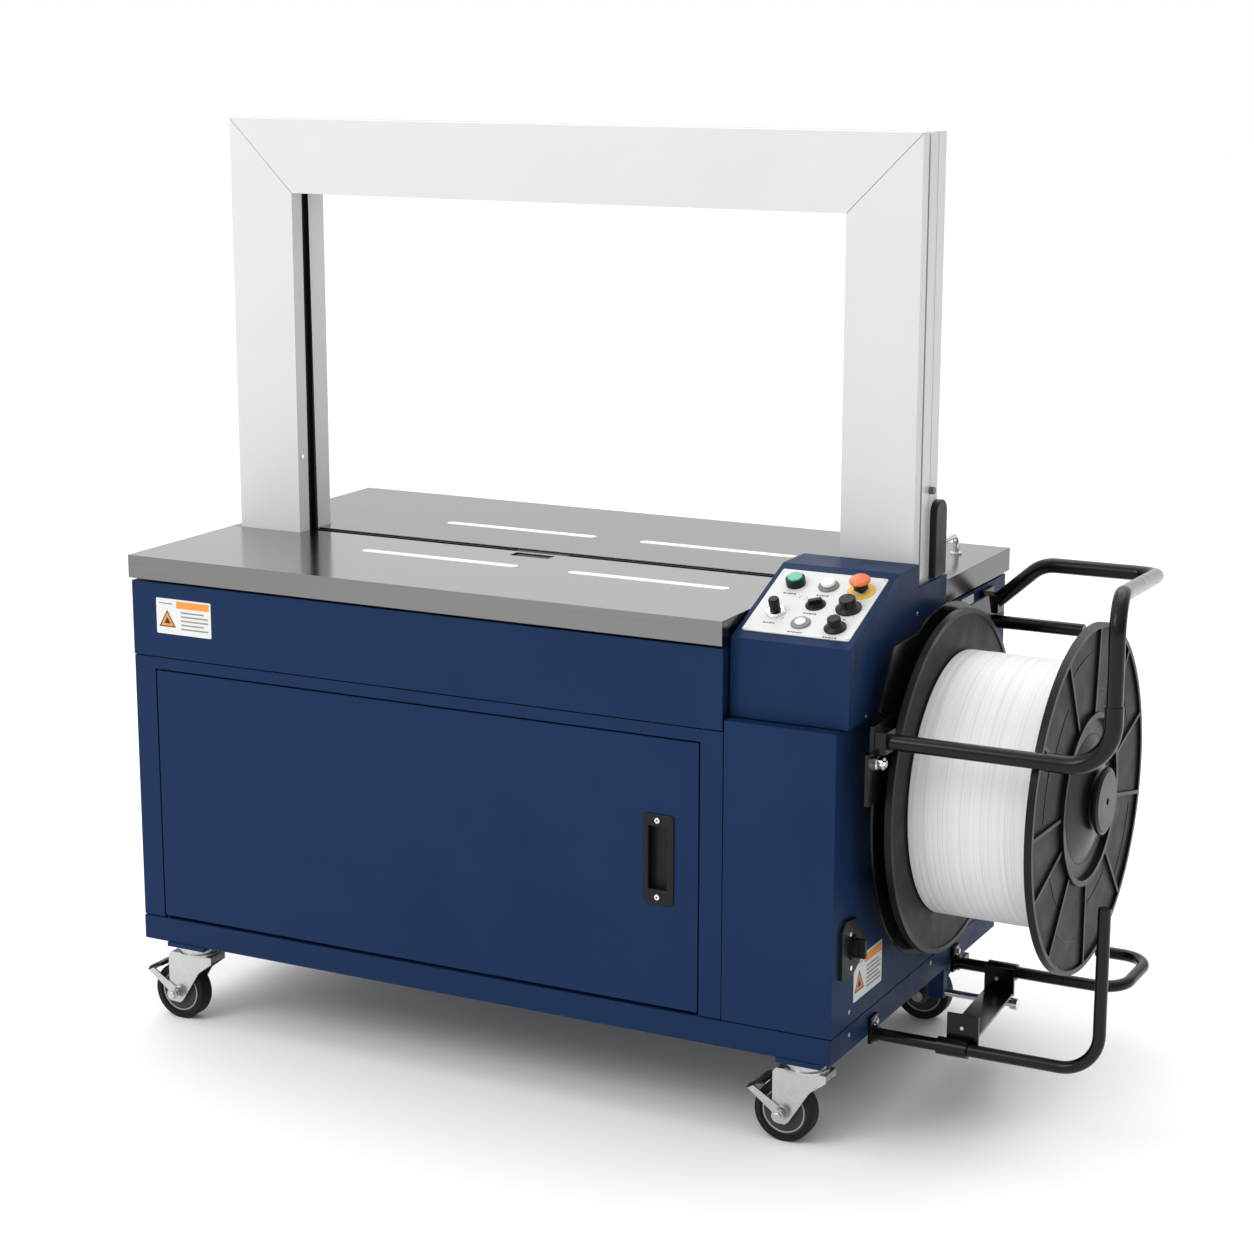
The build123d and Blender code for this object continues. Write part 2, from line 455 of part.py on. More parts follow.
with BuildPart() as stop_button:
    turned(*STOP, [(0, -8), (STEM_R, -8), (STEM_R, 8), (11.5, 8), (11.5, 18), (16.5, 21),
                   (16.5, 23.5), (14, 26), (0, 27)])
save(stop_button.part, "stop_button")

with BuildPart() as mode_knob:
    turned(*TOGGLE, [(0, -8), (STEM_R, -8), (STEM_R, 8), (8.5, 8), (8.5, 26), (7.3, 28), (0, 28)])
save(mode_knob.part, "mode_knob")

with BuildPart() as selector_knob:
    turned(*SELECTOR, capped_stem(12.5, 3, 7))
    with BuildSketch(slope_plane(*SELECTOR, 7)):
        with Locations(Rotation(0, 0, 30)):
            RectangleRounded(22, 7, 2.5)
    extrude(amount=6)
save(selector_knob.part, "selector_knob")

for spot, skirt, cap, tall, label in ((SPEED, 20.5, 13, 22, "speed_knob"),
                                      (TENSION, 17.5, 10.5, 21, "tension_knob")):
    with BuildPart() as skirted_knob:
        turned(*spot, [(0, -8), (STEM_R, -8), (STEM_R, 2.6), (skirt, 2.6), (skirt, 4.5),
                       (cap + 1, 9), (cap, tall - 1), (cap - 1, tall), (0, tall)])
        with BuildSketch(slope_plane(*spot, tall - 0.6)):
            with Locations((0, cap * 0.55)):
                Rectangle(1.2, cap * 0.7)
        extrude(amount=1, mode=Mode.SUBTRACT)
    save(skirted_knob.part, label)

with BuildPart() as feed_button:
    turned(*FLUSH, capped_stem(9.0, PLATE_T + 2.8, PLATE_T + 5.5))
save(feed_button.part, "feed_button")

# ---- main switch on the right side ----
SWITCH_Y, SWITCH_Z = 76, 320
SWITCH_OUTLINE = ((30, 280), (74, 276), (119, 300), (124, 314), (86, 366), (44, 370), (30, 356))
with BuildPart() as main_switch_plate:
    with BuildSketch(Plane(at(CAB_X1, 0, 0), x_dir=(0, 1, 0), z_dir=(1, 0, 0))):
        with BuildLine():
            Polyline(*SWITCH_OUTLINE, close=True)
        make_face()
    extrude(amount=6)
    disc_x(CAB_X1 + 6, CAB_X1 + 9, SWITCH_Y, SWITCH_Z, 20)
    disc_x(CAB_X1 + 2, CAB_X1 + 10, SWITCH_Y, SWITCH_Z, STEM_HOLE_R, mode=Mode.SUBTRACT)
save(main_switch_plate.part, "main_switch_plate")

with BuildPart() as main_switch_knob:
    disc_x(CAB_X1 + 3, CAB_X1 + 10, SWITCH_Y, SWITCH_Z, STEM_R)
    disc_x(CAB_X1 + 9.6, CAB_X1 + 16, SWITCH_Y, SWITCH_Z, 16)
    block(CAB_X1 + 16, CAB_X1 + 26, SWITCH_Y - 4, SWITCH_Y + 4, SWITCH_Z - 15, SWITCH_Z + 15)
save(main_switch_knob.part, "main_switch_knob")

# ---- reel: back plate, fixed spindle, two flanges, strap coil and hub nut ----
BACK_X, BACK_T, BACK_R = 1332, 4, 288
BACK_TOP = ((88, 695), (108, 733), (142, 786), (560, 786), (620, 640))
SPACERS = ((175, 403), (535, 403), (535, 640), (175, 640))
DRUM_R, DRUM_T = 104, 5
RIM_W = 8

with BuildPart() as reel_back_plate:
    disc_x(BACK_X, BACK_X + BACK_T, REEL_Y, REEL_Z, BACK_R)
    with BuildSketch(Plane(at(BACK_X, 0, 0), x_dir=(0, 1, 0), z_dir=(1, 0, 0))):
        with BuildLine():
            Polyline((REEL_Y, REEL_Z), *BACK_TOP, close=True)
        make_face()
    extrude(amount=BACK_T)
    for y, z in SPACERS:
        disc_x(CAB_X1, BACK_X, y, z, 10)
save(reel_back_plate.part, "reel_back_plate")

with BuildPart() as reel_spindle:
    disc_x(BACK_X + BACK_T, BACK_X + BACK_T + 6, REEL_Y, REEL_Z, 60)
    disc_x(BACK_X + BACK_T + 6, HUB_END_X - 8, REEL_Y, REEL_Z, SPINDLE_R)
save(reel_spindle.part, "reel_spindle")


def reel_ring(x0, x1, outer, inner, mode=Mode.ADD):
    """A ring about the reel's axis."""
    with BuildSketch(Plane(at(x0, REEL_Y, REEL_Z), x_dir=(0, 1, 0), z_dir=(1, 0, 0))) as ring:
        Circle(outer)
        Circle(inner, mode=Mode.SUBTRACT)
    extrude(ring.sketch, amount=x1 - x0, mode=mode)


BORE = SPINDLE_R + 0.05
with BuildPart() as inner_flange:
    reel_ring(FLANGE_IN_X, FLANGE_IN_X + 5, FLANGE_R, BORE)
    reel_ring(FLANGE_IN_X - 4, FLANGE_IN_X + 7, FLANGE_R, FLANGE_R - RIM_W)
    reel_ring(FLANGE_IN_X + 5, FLANGE_OUT_X - 6, DRUM_R, DRUM_R - DRUM_T)
    reel_ring(FLANGE_IN_X - 8, FLANGE_IN_X + 90, 45, BORE)
save(inner_flange.part, "inner_flange")

CUP_R, CUP_T, RIB_T, RIB_H = 138, 9, 6, 5
RIB_ANGLES = (17, 48, 84, 117, 149, 179, 201, 230, 270, 311, 348)
with BuildPart() as outer_flange:
    reel_ring(FLANGE_OUT_X - 5, FLANGE_OUT_X, FLANGE_R, BORE)
    reel_ring(FLANGE_OUT_X - 7, FLANGE_OUT_X + 5, FLANGE_R, FLANGE_R - RIM_W)
    reel_ring(FLANGE_OUT_X, FLANGE_OUT_X + 8, CUP_R, CUP_R - CUP_T)
    reel_ring(FLANGE_OUT_X - 90, FLANGE_OUT_X - 5, 45, BORE)
    with BuildSketch(Plane(at(FLANGE_OUT_X, REEL_Y, REEL_Z), x_dir=(0, 1, 0), z_dir=(1, 0, 0))):
        for angle in RIB_ANGLES:
            reach = (CUP_R + FLANGE_R - RIM_W) / 2
            turn = math.radians(angle)
            with Locations(Location((reach * math.cos(turn), reach * math.sin(turn), 0), (0, 0, angle))):
                Rectangle(FLANGE_R - RIM_W - CUP_R + 4, RIB_T)
    extrude(amount=RIB_H)
save(outer_flange.part, "outer_flange")

with BuildPart() as strap_coil:
    reel_ring(FLANGE_IN_X + 7.5, FLANGE_OUT_X - 7.5, COIL_R, DRUM_R)
    fillet(strap_coil.edges().filter_by(GeomType.CIRCLE).sort_by(SortBy.LENGTH)[-2:], radius=2)
save(strap_coil.part, "strap_coil")

HUB_NUT = ((0, 1608), (0, 1614), (48, 1614), (53, 1611), (53, 1606), (42, 1604), (46, 1598),
           (104, 1580), (20.05, 1580), (20.05, 1608))
with BuildPart() as reel_hub_nut:
    with BuildSketch(Plane(at(0, REEL_Y, REEL_Z), x_dir=(1, 0, 0), z_dir=(0, -1, 0))):
        with BuildLine():
            Polyline(*[(x, radius) for radius, x in HUB_NUT], close=True)
        make_face()
    revolve(axis=Axis(at(0, REEL_Y, REEL_Z), (1, 0, 0)))
    disc_x(1600, HUB_END_X + 1, REEL_Y, REEL_Z, 6, mode=Mode.SUBTRACT)
save(reel_hub_nut.part, "reel_hub_nut")

# ---- tube guards round the reel ----
ELBOW_START_X, ELBOW_TOP_Z, ELBOW_BEND = 1604, 752, 68

with BuildPart() as upper_guard_tube:
    tube_along([at(BACK_X + 10, GUARD_Y, GUARD_Z), at(ELBOW_START_X, GUARD_Y, GUARD_Z)], [], GUARD_R)
    elbow = [at(ELBOW_START_X, GUARD_Y, GUARD_Z), at(GUARD_X, GUARD_Y, GUARD_Z),
             at(GUARD_X, GUARD_Y, ELBOW_TOP_Z)]
    tube_along(elbow, [ELBOW_BEND], ELBOW_R)
    loop = [at(GUARD_X, GUARD_Y, ELBOW_TOP_Z), at(GUARD_X, GUARD_Y, GUARD_TOP),
            at(LOOP_X, LOOP_Y, LOOP_Z), at(1400, LOOP_Y, LOOP_Z - 1), at(1318, LOOP_Y, 756)]
    tube_along(loop, [52, 45, 60], GUARD_R)
save(upper_guard_tube.part, "upper_guard_tube")

LOW_Y, LOW_Z, RISER_X, RISER_TOP = 170, 147, 1672, 412
BUMP_Y0, BUMP_Y1, BUMP_X, BUMP_END_X = 540, 707, 1595, 1500
with BuildPart() as lower_guard_tubes:
    riser = [at(CAB_X1 + 12, LOW_Y, LOW_Z), at(RISER_X, LOW_Y, LOW_Z), at(RISER_X, LOW_Y, RISER_TOP)]
    tube_along(riser, [62], LOW_GUARD_R)
    bumper = [at(CAB_X1 + 12, BUMP_Y0, LOW_Z), at(BUMP_X, BUMP_Y0, LOW_Z),
              at(BUMP_X, BUMP_Y1, LOW_Z), at(BUMP_END_X, BUMP_Y1, LOW_Z)]
    tube_along(bumper, [48, 48], LOW_GUARD_R)
save(lower_guard_tubes.part, "lower_guard_tubes")

STUB_END_X = 1476
with BuildPart() as guard_brackets:
    block(BACK_X + BACK_T, BACK_X + BACK_T + 6, GUARD_Y - 22, GUARD_Y + 75, GUARD_Z - 14, GUARD_Z + 26)
    block(BACK_X + BACK_T, BACK_X + BACK_T + 6, 30, 90, 562, GUARD_Z - 14)
    block(BACK_X + BACK_T - 2, BACK_X + BACK_T + 24, GUARD_Y - 19, GUARD_Y + 19, GUARD_Z - 17, GUARD_Z + 17)
    disc_x(BACK_X, BACK_X + 40, GUARD_Y, GUARD_Z, GUARD_R, mode=Mode.SUBTRACT)
    block(CAB_X1, CAB_X1 + 8, LOOP_Y - 26, LOOP_Y + 26, STUB_Z - 30, PANEL_TOP - 6)
    tube_along([at(CAB_X1 + 8, LOOP_Y, STUB_Z), at(STUB_END_X, LOOP_Y, STUB_Z)], [], 11)
    for y in (LOW_Y, BUMP_Y0):
        block(CAB_X1, CAB_X1 + 6, y - 14, y + 14, LOW_Z - 14, LOW_Z + 30)
        disc_x(CAB_X1 + 6, CAB_X1 + 12, y, LOW_Z, LOW_GUARD_R + 3)
    block(CAB_X1 + 8, CAB_X1 + 30, LOOP_Y - 16, LOOP_Y + 16, 742, 772)
    tube_along([at(1318, LOOP_Y, 756), at(1400, LOOP_Y, LOOP_Z - 1)], [], GUARD_R, mode=Mode.SUBTRACT)
save(guard_brackets.part, "guard_brackets")

# ---- brace between the two lower guard tubes, and its tie rod ----
BRACE_W, BRACE_T = 50, 5
BRACE_FRONT = (1449, LOW_Y + LOW_GUARD_R + BRACE_T - 1, 166)
BRACE_REAR = (1388, BUMP_Y0 - LOW_GUARD_R - BRACE_T + 1, 112)
with BuildPart() as reel_brace:
    for (x, y, z), tube_y, x0 in ((BRACE_FRONT, LOW_Y, 1413), (BRACE_REAR, BUMP_Y0, 1364)):
        disc_x(x0, x0 + BRACE_W, tube_y, LOW_Z, LOW_GUARD_R + 4)
        near = tube_y + (LOW_GUARD_R + BRACE_T / 2) * (1 if tube_y == LOW_Y else -1)
        block(x - 26, x + 26, near - BRACE_T / 2, near + BRACE_T / 2, min(z - 3, LOW_Z - 8), max(z + 33, LOW_Z + 9))
    span = at(*BRACE_REAR) - at(*BRACE_FRONT)
    with BuildSketch(Plane(at(*BRACE_FRONT), x_dir=(1, 0, 0), z_dir=span)):
        Rectangle(BRACE_W, BRACE_T)
    extrude(amount=span.length)
    for tube_y in (LOW_Y, BUMP_Y0):
        disc_x(1300, 1560, tube_y, LOW_Z, LOW_GUARD_R, mode=Mode.SUBTRACT)
save(reel_brace.part, "reel_brace")

# ---- screws, bolts and the chrome tie rod ----
PLATE_SCREWS = ((1128, 25), (1295, 25), (1128, 185), (1295, 185))
with BuildPart() as fasteners:
    for x, along in PLATE_SCREWS:
        turned(x, along, [(0, PLATE_T), (3, PLATE_T), (2.2, PLATE_T + 1.2), (0, PLATE_T + 1.2)])
    for y, z in SPACERS:
        disc_x(BACK_X + BACK_T, BACK_X + BACK_T + 5, y, z, 7)
    disc_x(ARCH_X0 + ARCH_W, ARCH_X0 + ARCH_W + 1.5, 315, 964, 4)
    disc_x(ARCH_X1, ARCH_X1 + 8, 368, 989, 6)
    disc_x(CAB_X1 + 6, CAB_X1 + 8, 59, 347, 4)
    disc_x(CAB_X1 + 6, CAB_X1 + 8, 62, 291, 4)
    disc_x(BACK_X + BACK_T + 6, BACK_X + BACK_T + 22, 62, 623, 5.5)
    disc_x(BACK_X + BACK_T + 6, BACK_X + BACK_T + 9, 62, 623, 12)
    disc_x(BACK_X + BACK_T + 9, BACK_X + BACK_T + 18, 62, 623, 9.5)
    disc_x(CAB_X1 - 2, BRACE_REAR[0] + 32, ROD_Y, ROD_Z, 6)
    disc_x(BRACE_REAR[0] + 28, BRACE_REAR[0] + 40, ROD_Y, ROD_Z, 10)
save(fasteners.part, "fasteners")

# ---- strapping head, its cam shaft, and the motor driving it by belt ----
HEAD_PLATES = (580, 634)
CAM_Y, CAM_Z, CAM_R, CAM_PULLEY_R = 320, 600, 8, 40
MOTOR_Y, MOTOR_Z, MOTOR_R, MOTOR_SHAFT_R, MOTOR_PULLEY_R = 425, 525, 44, 6, 25
BELT_X0, BELT_X1, BELT_T, BELT_GAP = 678, 688, 3, 0.4
DECK_TOP = DECK_Z + 6

with BuildPart() as strapping_head:
    block(560, 660, 285, 425, DECK_TOP, DECK_TOP + 8)
    for x0 in HEAD_PLATES:
        block(x0, x0 + 6, 290, 400, DECK_TOP + 8, 790)
    block(HEAD_PLATES[0], HEAD_PLATES[1] + 6, 302, 357, 780, 796)
    block(HEAD_X0 + 4, HEAD_X1 - 4, HEAD_Y0 + 4, HEAD_Y1 - 4, 796, TABLE_Z - 2)
    block(ARCH_X0 + ARCH_W, ARCH_X1 - ARCH_W, 337, 357, 796, TABLE_Z - 2)
    block(ARCH_X0 + ARCH_W - 1, 560, 341, 353, 802, TABLE_Z, mode=Mode.SUBTRACT)
    block(660, ARCH_X1 - ARCH_W + 1, 341, 353, 802, TABLE_Z, mode=Mode.SUBTRACT)
    disc_x(570, 650, CAM_Y, CAM_Z, CAM_R + 0.05, mode=Mode.SUBTRACT)
save(strapping_head.part, "strapping_head")

with BuildPart() as cam_shaft:
    disc_x(572, 694, CAM_Y, CAM_Z, CAM_R)
    for number, x0 in enumerate((592, 606, 620)):
        turn = math.radians(120 * number)
        disc_x(x0, x0 + 8, CAM_Y + 7 * math.cos(turn), CAM_Z + 7 * math.sin(turn), 25)
    disc_x(BELT_X0 - 2, BELT_X1 + 2, CAM_Y, CAM_Z, CAM_PULLEY_R)
save(cam_shaft.part, "cam_shaft")

with BuildPart() as gear_motor:
    disc_x(704, 808, MOTOR_Y, MOTOR_Z, MOTOR_R)
    block(714, 796, MOTOR_Y - 38, MOTOR_Y + 38, DECK_TOP, DECK_TOP + 24)
    disc_x(700, 734, MOTOR_Y, MOTOR_Z, MOTOR_SHAFT_R + 0.05, mode=Mode.SUBTRACT)
save(gear_motor.part, "gear_motor")

with BuildPart() as motor_pulley:
    disc_x(BELT_X0 - 4, 732, MOTOR_Y, MOTOR_Z, MOTOR_SHAFT_R)
    disc_x(BELT_X0 - 2, BELT_X1 + 2, MOTOR_Y, MOTOR_Z, MOTOR_PULLEY_R)
save(motor_pulley.part, "motor_pulley")


def belt_loop(extra, mode=Mode.ADD):
    """The closed outline round both pulleys, this far outside their rims."""
    big, small = CAM_PULLEY_R + extra, MOTOR_PULLEY_R + extra
    across, up = MOTOR_Y - CAM_Y, MOTOR_Z - CAM_Z
    heading = math.atan2(up, across)
    lean = math.acos((big - small) / math.hypot(across, up))
    touch = []
    for y, z, radius, sides in ((CAM_Y, CAM_Z, big, (1, -1)), (MOTOR_Y, MOTOR_Z, small, (-1, 1))):
        for side in sides:
            angle = heading + side * lean
            touch.append((y + radius * math.cos(angle), z + radius * math.sin(angle)))
    with BuildSketch(Plane(at(BELT_X0, 0, 0), x_dir=(0, 1, 0), z_dir=(1, 0, 0))) as outline:
        with BuildLine():
            Polyline(*touch, close=True)
        make_face()
        with Locations((CAM_Y, CAM_Z)):
            Circle(big)
        with Locations((MOTOR_Y, MOTOR_Z)):
            Circle(small)
    extrude(outline.sketch, amount=BELT_X1 - BELT_X0, mode=mode)


with BuildPart() as drive_belt:
    belt_loop(BELT_GAP + BELT_T)
    belt_loop(BELT_GAP, mode=Mode.SUBTRACT)
save(drive_belt.part, "drive_belt")

# ---- strap magazine with its feed roller, and the electrical box ----
MAG_X1, MAG_Y0, MAG_Y1, MAG_Z0, MAG_Z1 = 1060, 325, 375, 240, 700
ROLLER_X, ROLLER_Z, ROLLER_R, ROLLER_PIN_R = 848, 736, 20, 5

with BuildPart() as strap_magazine:
    block(DECK_X1, MAG_X1, MAG_Y0, MAG_Y1, MAG_Z0, MAG_Z1)
    block(DECK_X1 + 3, MAG_X1 - 3, MAG_Y0 + 3, MAG_Y1 - 3, MAG_Z0 + 3, MAG_Z1 + 1, mode=Mode.SUBTRACT)
    for y0 in (MAG_Y0, MAG_Y1 - 3):
        block(ROLLER_X - 24, ROLLER_X + 24, y0, y0 + 3, MAG_Z1, ROLLER_Z + 16)
    disc_y(ROLLER_X, MAG_Y0 - 1, MAG_Y1 + 1, ROLLER_Z, ROLLER_PIN_R + 0.05, mode=Mode.SUBTRACT)
save(strap_magazine.part, "strap_magazine")

with BuildPart() as feed_roller:
    disc_y(ROLLER_X, MAG_Y0 - 4, MAG_Y1 + 4, ROLLER_Z, ROLLER_PIN_R)
    disc_y(ROLLER_X, MAG_Y0 + 6, MAG_Y1 - 6, ROLLER_Z, ROLLER_R)
save(feed_roller.part, "feed_roller")

with BuildPart() as electrical_box:
    block(60, 340, 560, CAB_Y1 - SHEET - POST, BASE_Z1, 440)
    fillet(electrical_box.edges().filter_by(Axis.Z), radius=4)
save(electrical_box.part, "electrical_box")

# ---- casters: forks that swivel, wheels, and brake pedals on the front pair ----
RING_R, RING_Z0, FORK_Z1, FORK_Z0, LEG_Y0, LEG_Y1 = 36, 124, 124, 114, 18, 21
AXLE_Z = WHEEL_R
LEG = ((-44, FORK_Z1), (40, FORK_Z1), (40, 112), (13, 92), (-22, 37), (-28, 32), (-41, 32), (-50, 40),
       (-50, FORK_Z1 - 7))
TREAD_TOP = ((PEDAL_R1, PEDAL_A1), (PEDAL_R1, 143), (64, 132), (59, 122))
TREAD_UNDER = ((53, 122), (58, 132), (62, 143), (62, PEDAL_A1))
PEDAL_ARM = ((66, PEDAL_A1), (64, 141), (11, 100), (11, 190))


def caster_fork(x, y, label):
    """A swivel fork with its kingpin, bearing ring and axle; the wheel trails towards -x."""
    with BuildPart() as fork:
        disc_z(x, y, RING_Z0, KINGPIN_TOP, KINGPIN_R)
        disc_z(x, y, RING_Z0, RING_Z0 + 4.5, RING_R)
        disc_z(x, y, RING_Z0 + 4, PAD_Z - 4.5, RING_R - 4)
        disc_z(x, y, PAD_Z - 5, PAD_Z - 0.5, RING_R)
        block(x - 44, x + 40, y - LEG_Y1, y + LEG_Y1, FORK_Z0, FORK_Z1)
        for y0 in (y - LEG_Y1, y + LEG_Y0):
            with BuildSketch(Plane(at(x, y0 + LEG_Y1 - LEG_Y0, 0), x_dir=(1, 0, 0), z_dir=(0, -1, 0))) as leg:
                with BuildLine():
                    Polyline(*LEG, close=True)
                make_face()
            extrude(leg.sketch, amount=LEG_Y1 - LEG_Y0)
        disc_y(x - TRAIL, y - 27, y + 27, AXLE_Z, AXLE_R)
    save(fork.part, label)


def caster_wheel(x, y, label):
    """A tyre on a hub, turning on the axle."""
    with BuildPart() as wheel:
        disc_y(x, y - WHEEL_W / 2, y + WHEEL_W / 2, AXLE_Z, WHEEL_R)
        rims = wheel.edges().filter_by(GeomType.CIRCLE)
        fillet(rims, radius=4)
        disc_y(x, y - WHEEL_W / 2, y + WHEEL_W / 2, AXLE_Z, 39, mode=Mode.SUBTRACT)
        disc_y(x, y - 11, y + 11, AXLE_Z, 39)
        disc_y(x, y - WHEEL_W / 2 - 1, y + WHEEL_W / 2 + 1, AXLE_Z, 13)
        disc_y(x, y - WHEEL_W, y + WHEEL_W, AXLE_Z, AXLE_R + 0.05, mode=Mode.SUBTRACT)
    save(wheel.part, label)


def brake_pedal(x, y, label):
    """A treadle over the tyre on two arms that turn on the axle ends."""
    wide = LEG_Y1 + 3.5
    with BuildPart() as pedal:
        for y0, y1, corners in ((y - wide, y + wide, TREAD_TOP + TREAD_UNDER),
                                (y - wide, y - wide + 3, PEDAL_ARM), (y + wide - 3, y + wide, PEDAL_ARM)):
            points = [(radius * math.cos(math.radians(a)), radius * math.sin(math.radians(a)))
                      for radius, a in corners]
            with BuildSketch(Plane(at(x, y1, AXLE_Z), x_dir=(1, 0, 0), z_dir=(0, -1, 0))) as outline:
                with BuildLine():
                    Polyline(*points, close=True)
                make_face()
            extrude(outline.sketch, amount=y1 - y0)
        for y0 in (y - wide, y + wide - 3):
            disc_y(x, y0, y0 + 3, AXLE_Z, 12)
        disc_y(x, y - 40, y + 40, AXLE_Z, AXLE_R + 0.05, mode=Mode.SUBTRACT)
    save(pedal.part, label)


for axle_x, side in ((LEFT_AXLE_X, "left"), (RIGHT_AXLE_X, "right")):
    for axle_y, end in ((FRONT_AXLE_Y, "front"), (REAR_AXLE_Y, "rear")):
        caster_fork(axle_x + TRAIL, axle_y, f"{end}_{side}_fork")
        caster_wheel(axle_x, axle_y, f"{end}_{side}_wheel")
    brake_pedal(axle_x, FRONT_AXLE_Y, f"{side}_brake_pedal")
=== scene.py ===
import math

import bmesh
import bpy
from mathutils import Matrix, Vector


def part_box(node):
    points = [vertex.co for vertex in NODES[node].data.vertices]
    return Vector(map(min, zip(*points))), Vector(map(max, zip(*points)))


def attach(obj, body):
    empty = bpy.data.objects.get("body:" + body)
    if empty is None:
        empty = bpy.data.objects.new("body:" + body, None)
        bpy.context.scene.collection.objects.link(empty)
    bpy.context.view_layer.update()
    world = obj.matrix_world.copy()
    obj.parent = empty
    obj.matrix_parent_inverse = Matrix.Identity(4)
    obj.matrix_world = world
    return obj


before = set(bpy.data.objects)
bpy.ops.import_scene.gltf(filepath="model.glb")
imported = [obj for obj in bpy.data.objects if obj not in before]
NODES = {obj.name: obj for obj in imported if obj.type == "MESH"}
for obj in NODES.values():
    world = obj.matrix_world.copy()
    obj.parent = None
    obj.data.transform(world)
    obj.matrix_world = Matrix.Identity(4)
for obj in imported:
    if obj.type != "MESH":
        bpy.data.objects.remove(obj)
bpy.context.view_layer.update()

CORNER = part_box("front_table_plate")[0]


def at(x, y, z):
    """A point given in millimetres from the table's left end, its front lip and the floor."""
    return Vector((CORNER.x + x / 1000, CORNER.y + y / 1000, z / 1000))


# ---- materials ----
NOISE_LOW, NOISE_HIGH = 0.3, 0.7  # the part of a noise texture's 0 to 1 that most of its values fall in
COAT_ROUGH = 0.1
PLATE_EDGE = 0.0006
TABLE_BRUSH = {"fine": 2600, "bump": 0.012, "edge": 0.0016}


class Shader:
    """A procedural material built round one Principled shader, textured in the object's own metres."""

    def __init__(self, name, rough, metal=0.0, spec=0.5, coat=0.0):
        self.mat = bpy.data.materials.new(name)
        self.mat.use_nodes = True
        self.tree = self.mat.node_tree
        self.bsdf = self.tree.nodes["Principled BSDF"]
        self.bsdf.inputs["Metallic"].default_value = metal
        self.bsdf.inputs["Roughness"].default_value = rough
        self.bsdf.inputs["Specular IOR Level"].default_value = spec
        self.bsdf.inputs["Coat Weight"].default_value = coat
        self.bsdf.inputs["Coat Roughness"].default_value = COAT_ROUGH
        self.coords = self.add("ShaderNodeTexCoord").outputs["Object"]

    def add(self, kind, **settings):
        node = self.tree.nodes.new(kind)
        for key, value in settings.items():
            setattr(node, key, value)
        return node

    def link(self, source, target):
        self.tree.links.new(source, target)

    def noise(self, scale, detail=3.0, stretch=(1, 1, 1), distortion=0.0):
        mapping = self.add("ShaderNodeMapping")
        mapping.inputs["Scale"].default_value = stretch
        self.link(self.coords, mapping.inputs["Vector"])
        noise = self.add("ShaderNodeTexNoise")
        noise.inputs["Scale"].default_value = scale
        noise.inputs["Detail"].default_value = detail
        noise.inputs["Distortion"].default_value = distortion
        self.link(mapping.outputs["Vector"], noise.inputs["Vector"])
        return noise.outputs["Fac"]

    def ramp(self, source, stops):
        ramp = self.add("ShaderNodeValToRGB")
        while len(ramp.color_ramp.elements) < len(stops):
            ramp.color_ramp.elements.new(0.5)
        for element, (place, color) in zip(ramp.color_ramp.elements, stops):
            element.position = place
            element.color = (*color, 1)
        self.link(source, ramp.inputs["Fac"])
        return ramp.outputs["Color"]

    def color(self, source, low, high):
        self.link(self.ramp(source, ((NOISE_LOW, low), (NOISE_HIGH, high))), self.bsdf.inputs["Base Color"])

    def rough(self, source, low, high):
        span = self.add("ShaderNodeMapRange")
        span.inputs["From Min"].default_value = NOISE_LOW
        span.inputs["From Max"].default_value = NOISE_HIGH
        span.inputs["To Min"].default_value = low
        span.inputs["To Max"].default_value = high
        self.link(source, span.inputs["Value"])
        self.link(span.outputs["Result"], self.bsdf.inputs["Roughness"])

    def bump(self, source, strength, depth=0.0002, edge=0.0):
        bump = self.add("ShaderNodeBump")
        bump.inputs["Strength"].default_value = strength
        bump.inputs["Distance"].default_value = depth
        self.link(source, bump.inputs["Height"])
        if edge:
            bevel = self.add("ShaderNodeBevel", samples=4)
            bevel.inputs["Radius"].default_value = edge
            self.link(bevel.outputs["Normal"], bump.inputs["Normal"])
        self.link(bump.outputs["Normal"], self.bsdf.inputs["Normal"])


def shade(color, factor):
    return tuple(min(1.0, channel * factor) for channel in color)


def coated(name, color, rough, spread=0.08, grain=420, bump=0.12, edge=0.0008, **finish):
    """Paint or moulded plastic: faint cloudiness, uneven gloss and a fine orange-peel or grain."""
    shader = Shader(name, rough, **finish)
    shader.color(shader.noise(7, 5), shade(color, 1 - spread), shade(color, 1 + spread))
    shader.rough(shader.noise(26, 4), rough * 0.88, min(1, rough * 1.14))
    shader.bump(shader.noise(grain, 3), bump, 0.00025, edge)
    return shader.mat


def brushed(name, color, rough, along, spread=0.12, fine=1700, bump=0.1, edge=0.0006, metal=1.0):
    """Bare metal with long scratches in one direction."""
    shader = Shader(name, rough, metal=metal)
    stretch = tuple(0.006 if axis == along else 1.0 for axis in range(3))
    broad = tuple(0.1 if axis == along else 1.0 for axis in range(3))
    shader.color(shader.noise(fine / 6, 4, stretch), shade(color, 1 - spread), shade(color, 1 + spread))
    shader.rough(shader.noise(12, 3, broad), rough * 0.93, rough * 1.08)
    shader.bump(shader.noise(fine, 4, stretch), bump, 0.00005, edge)
    return shader.mat


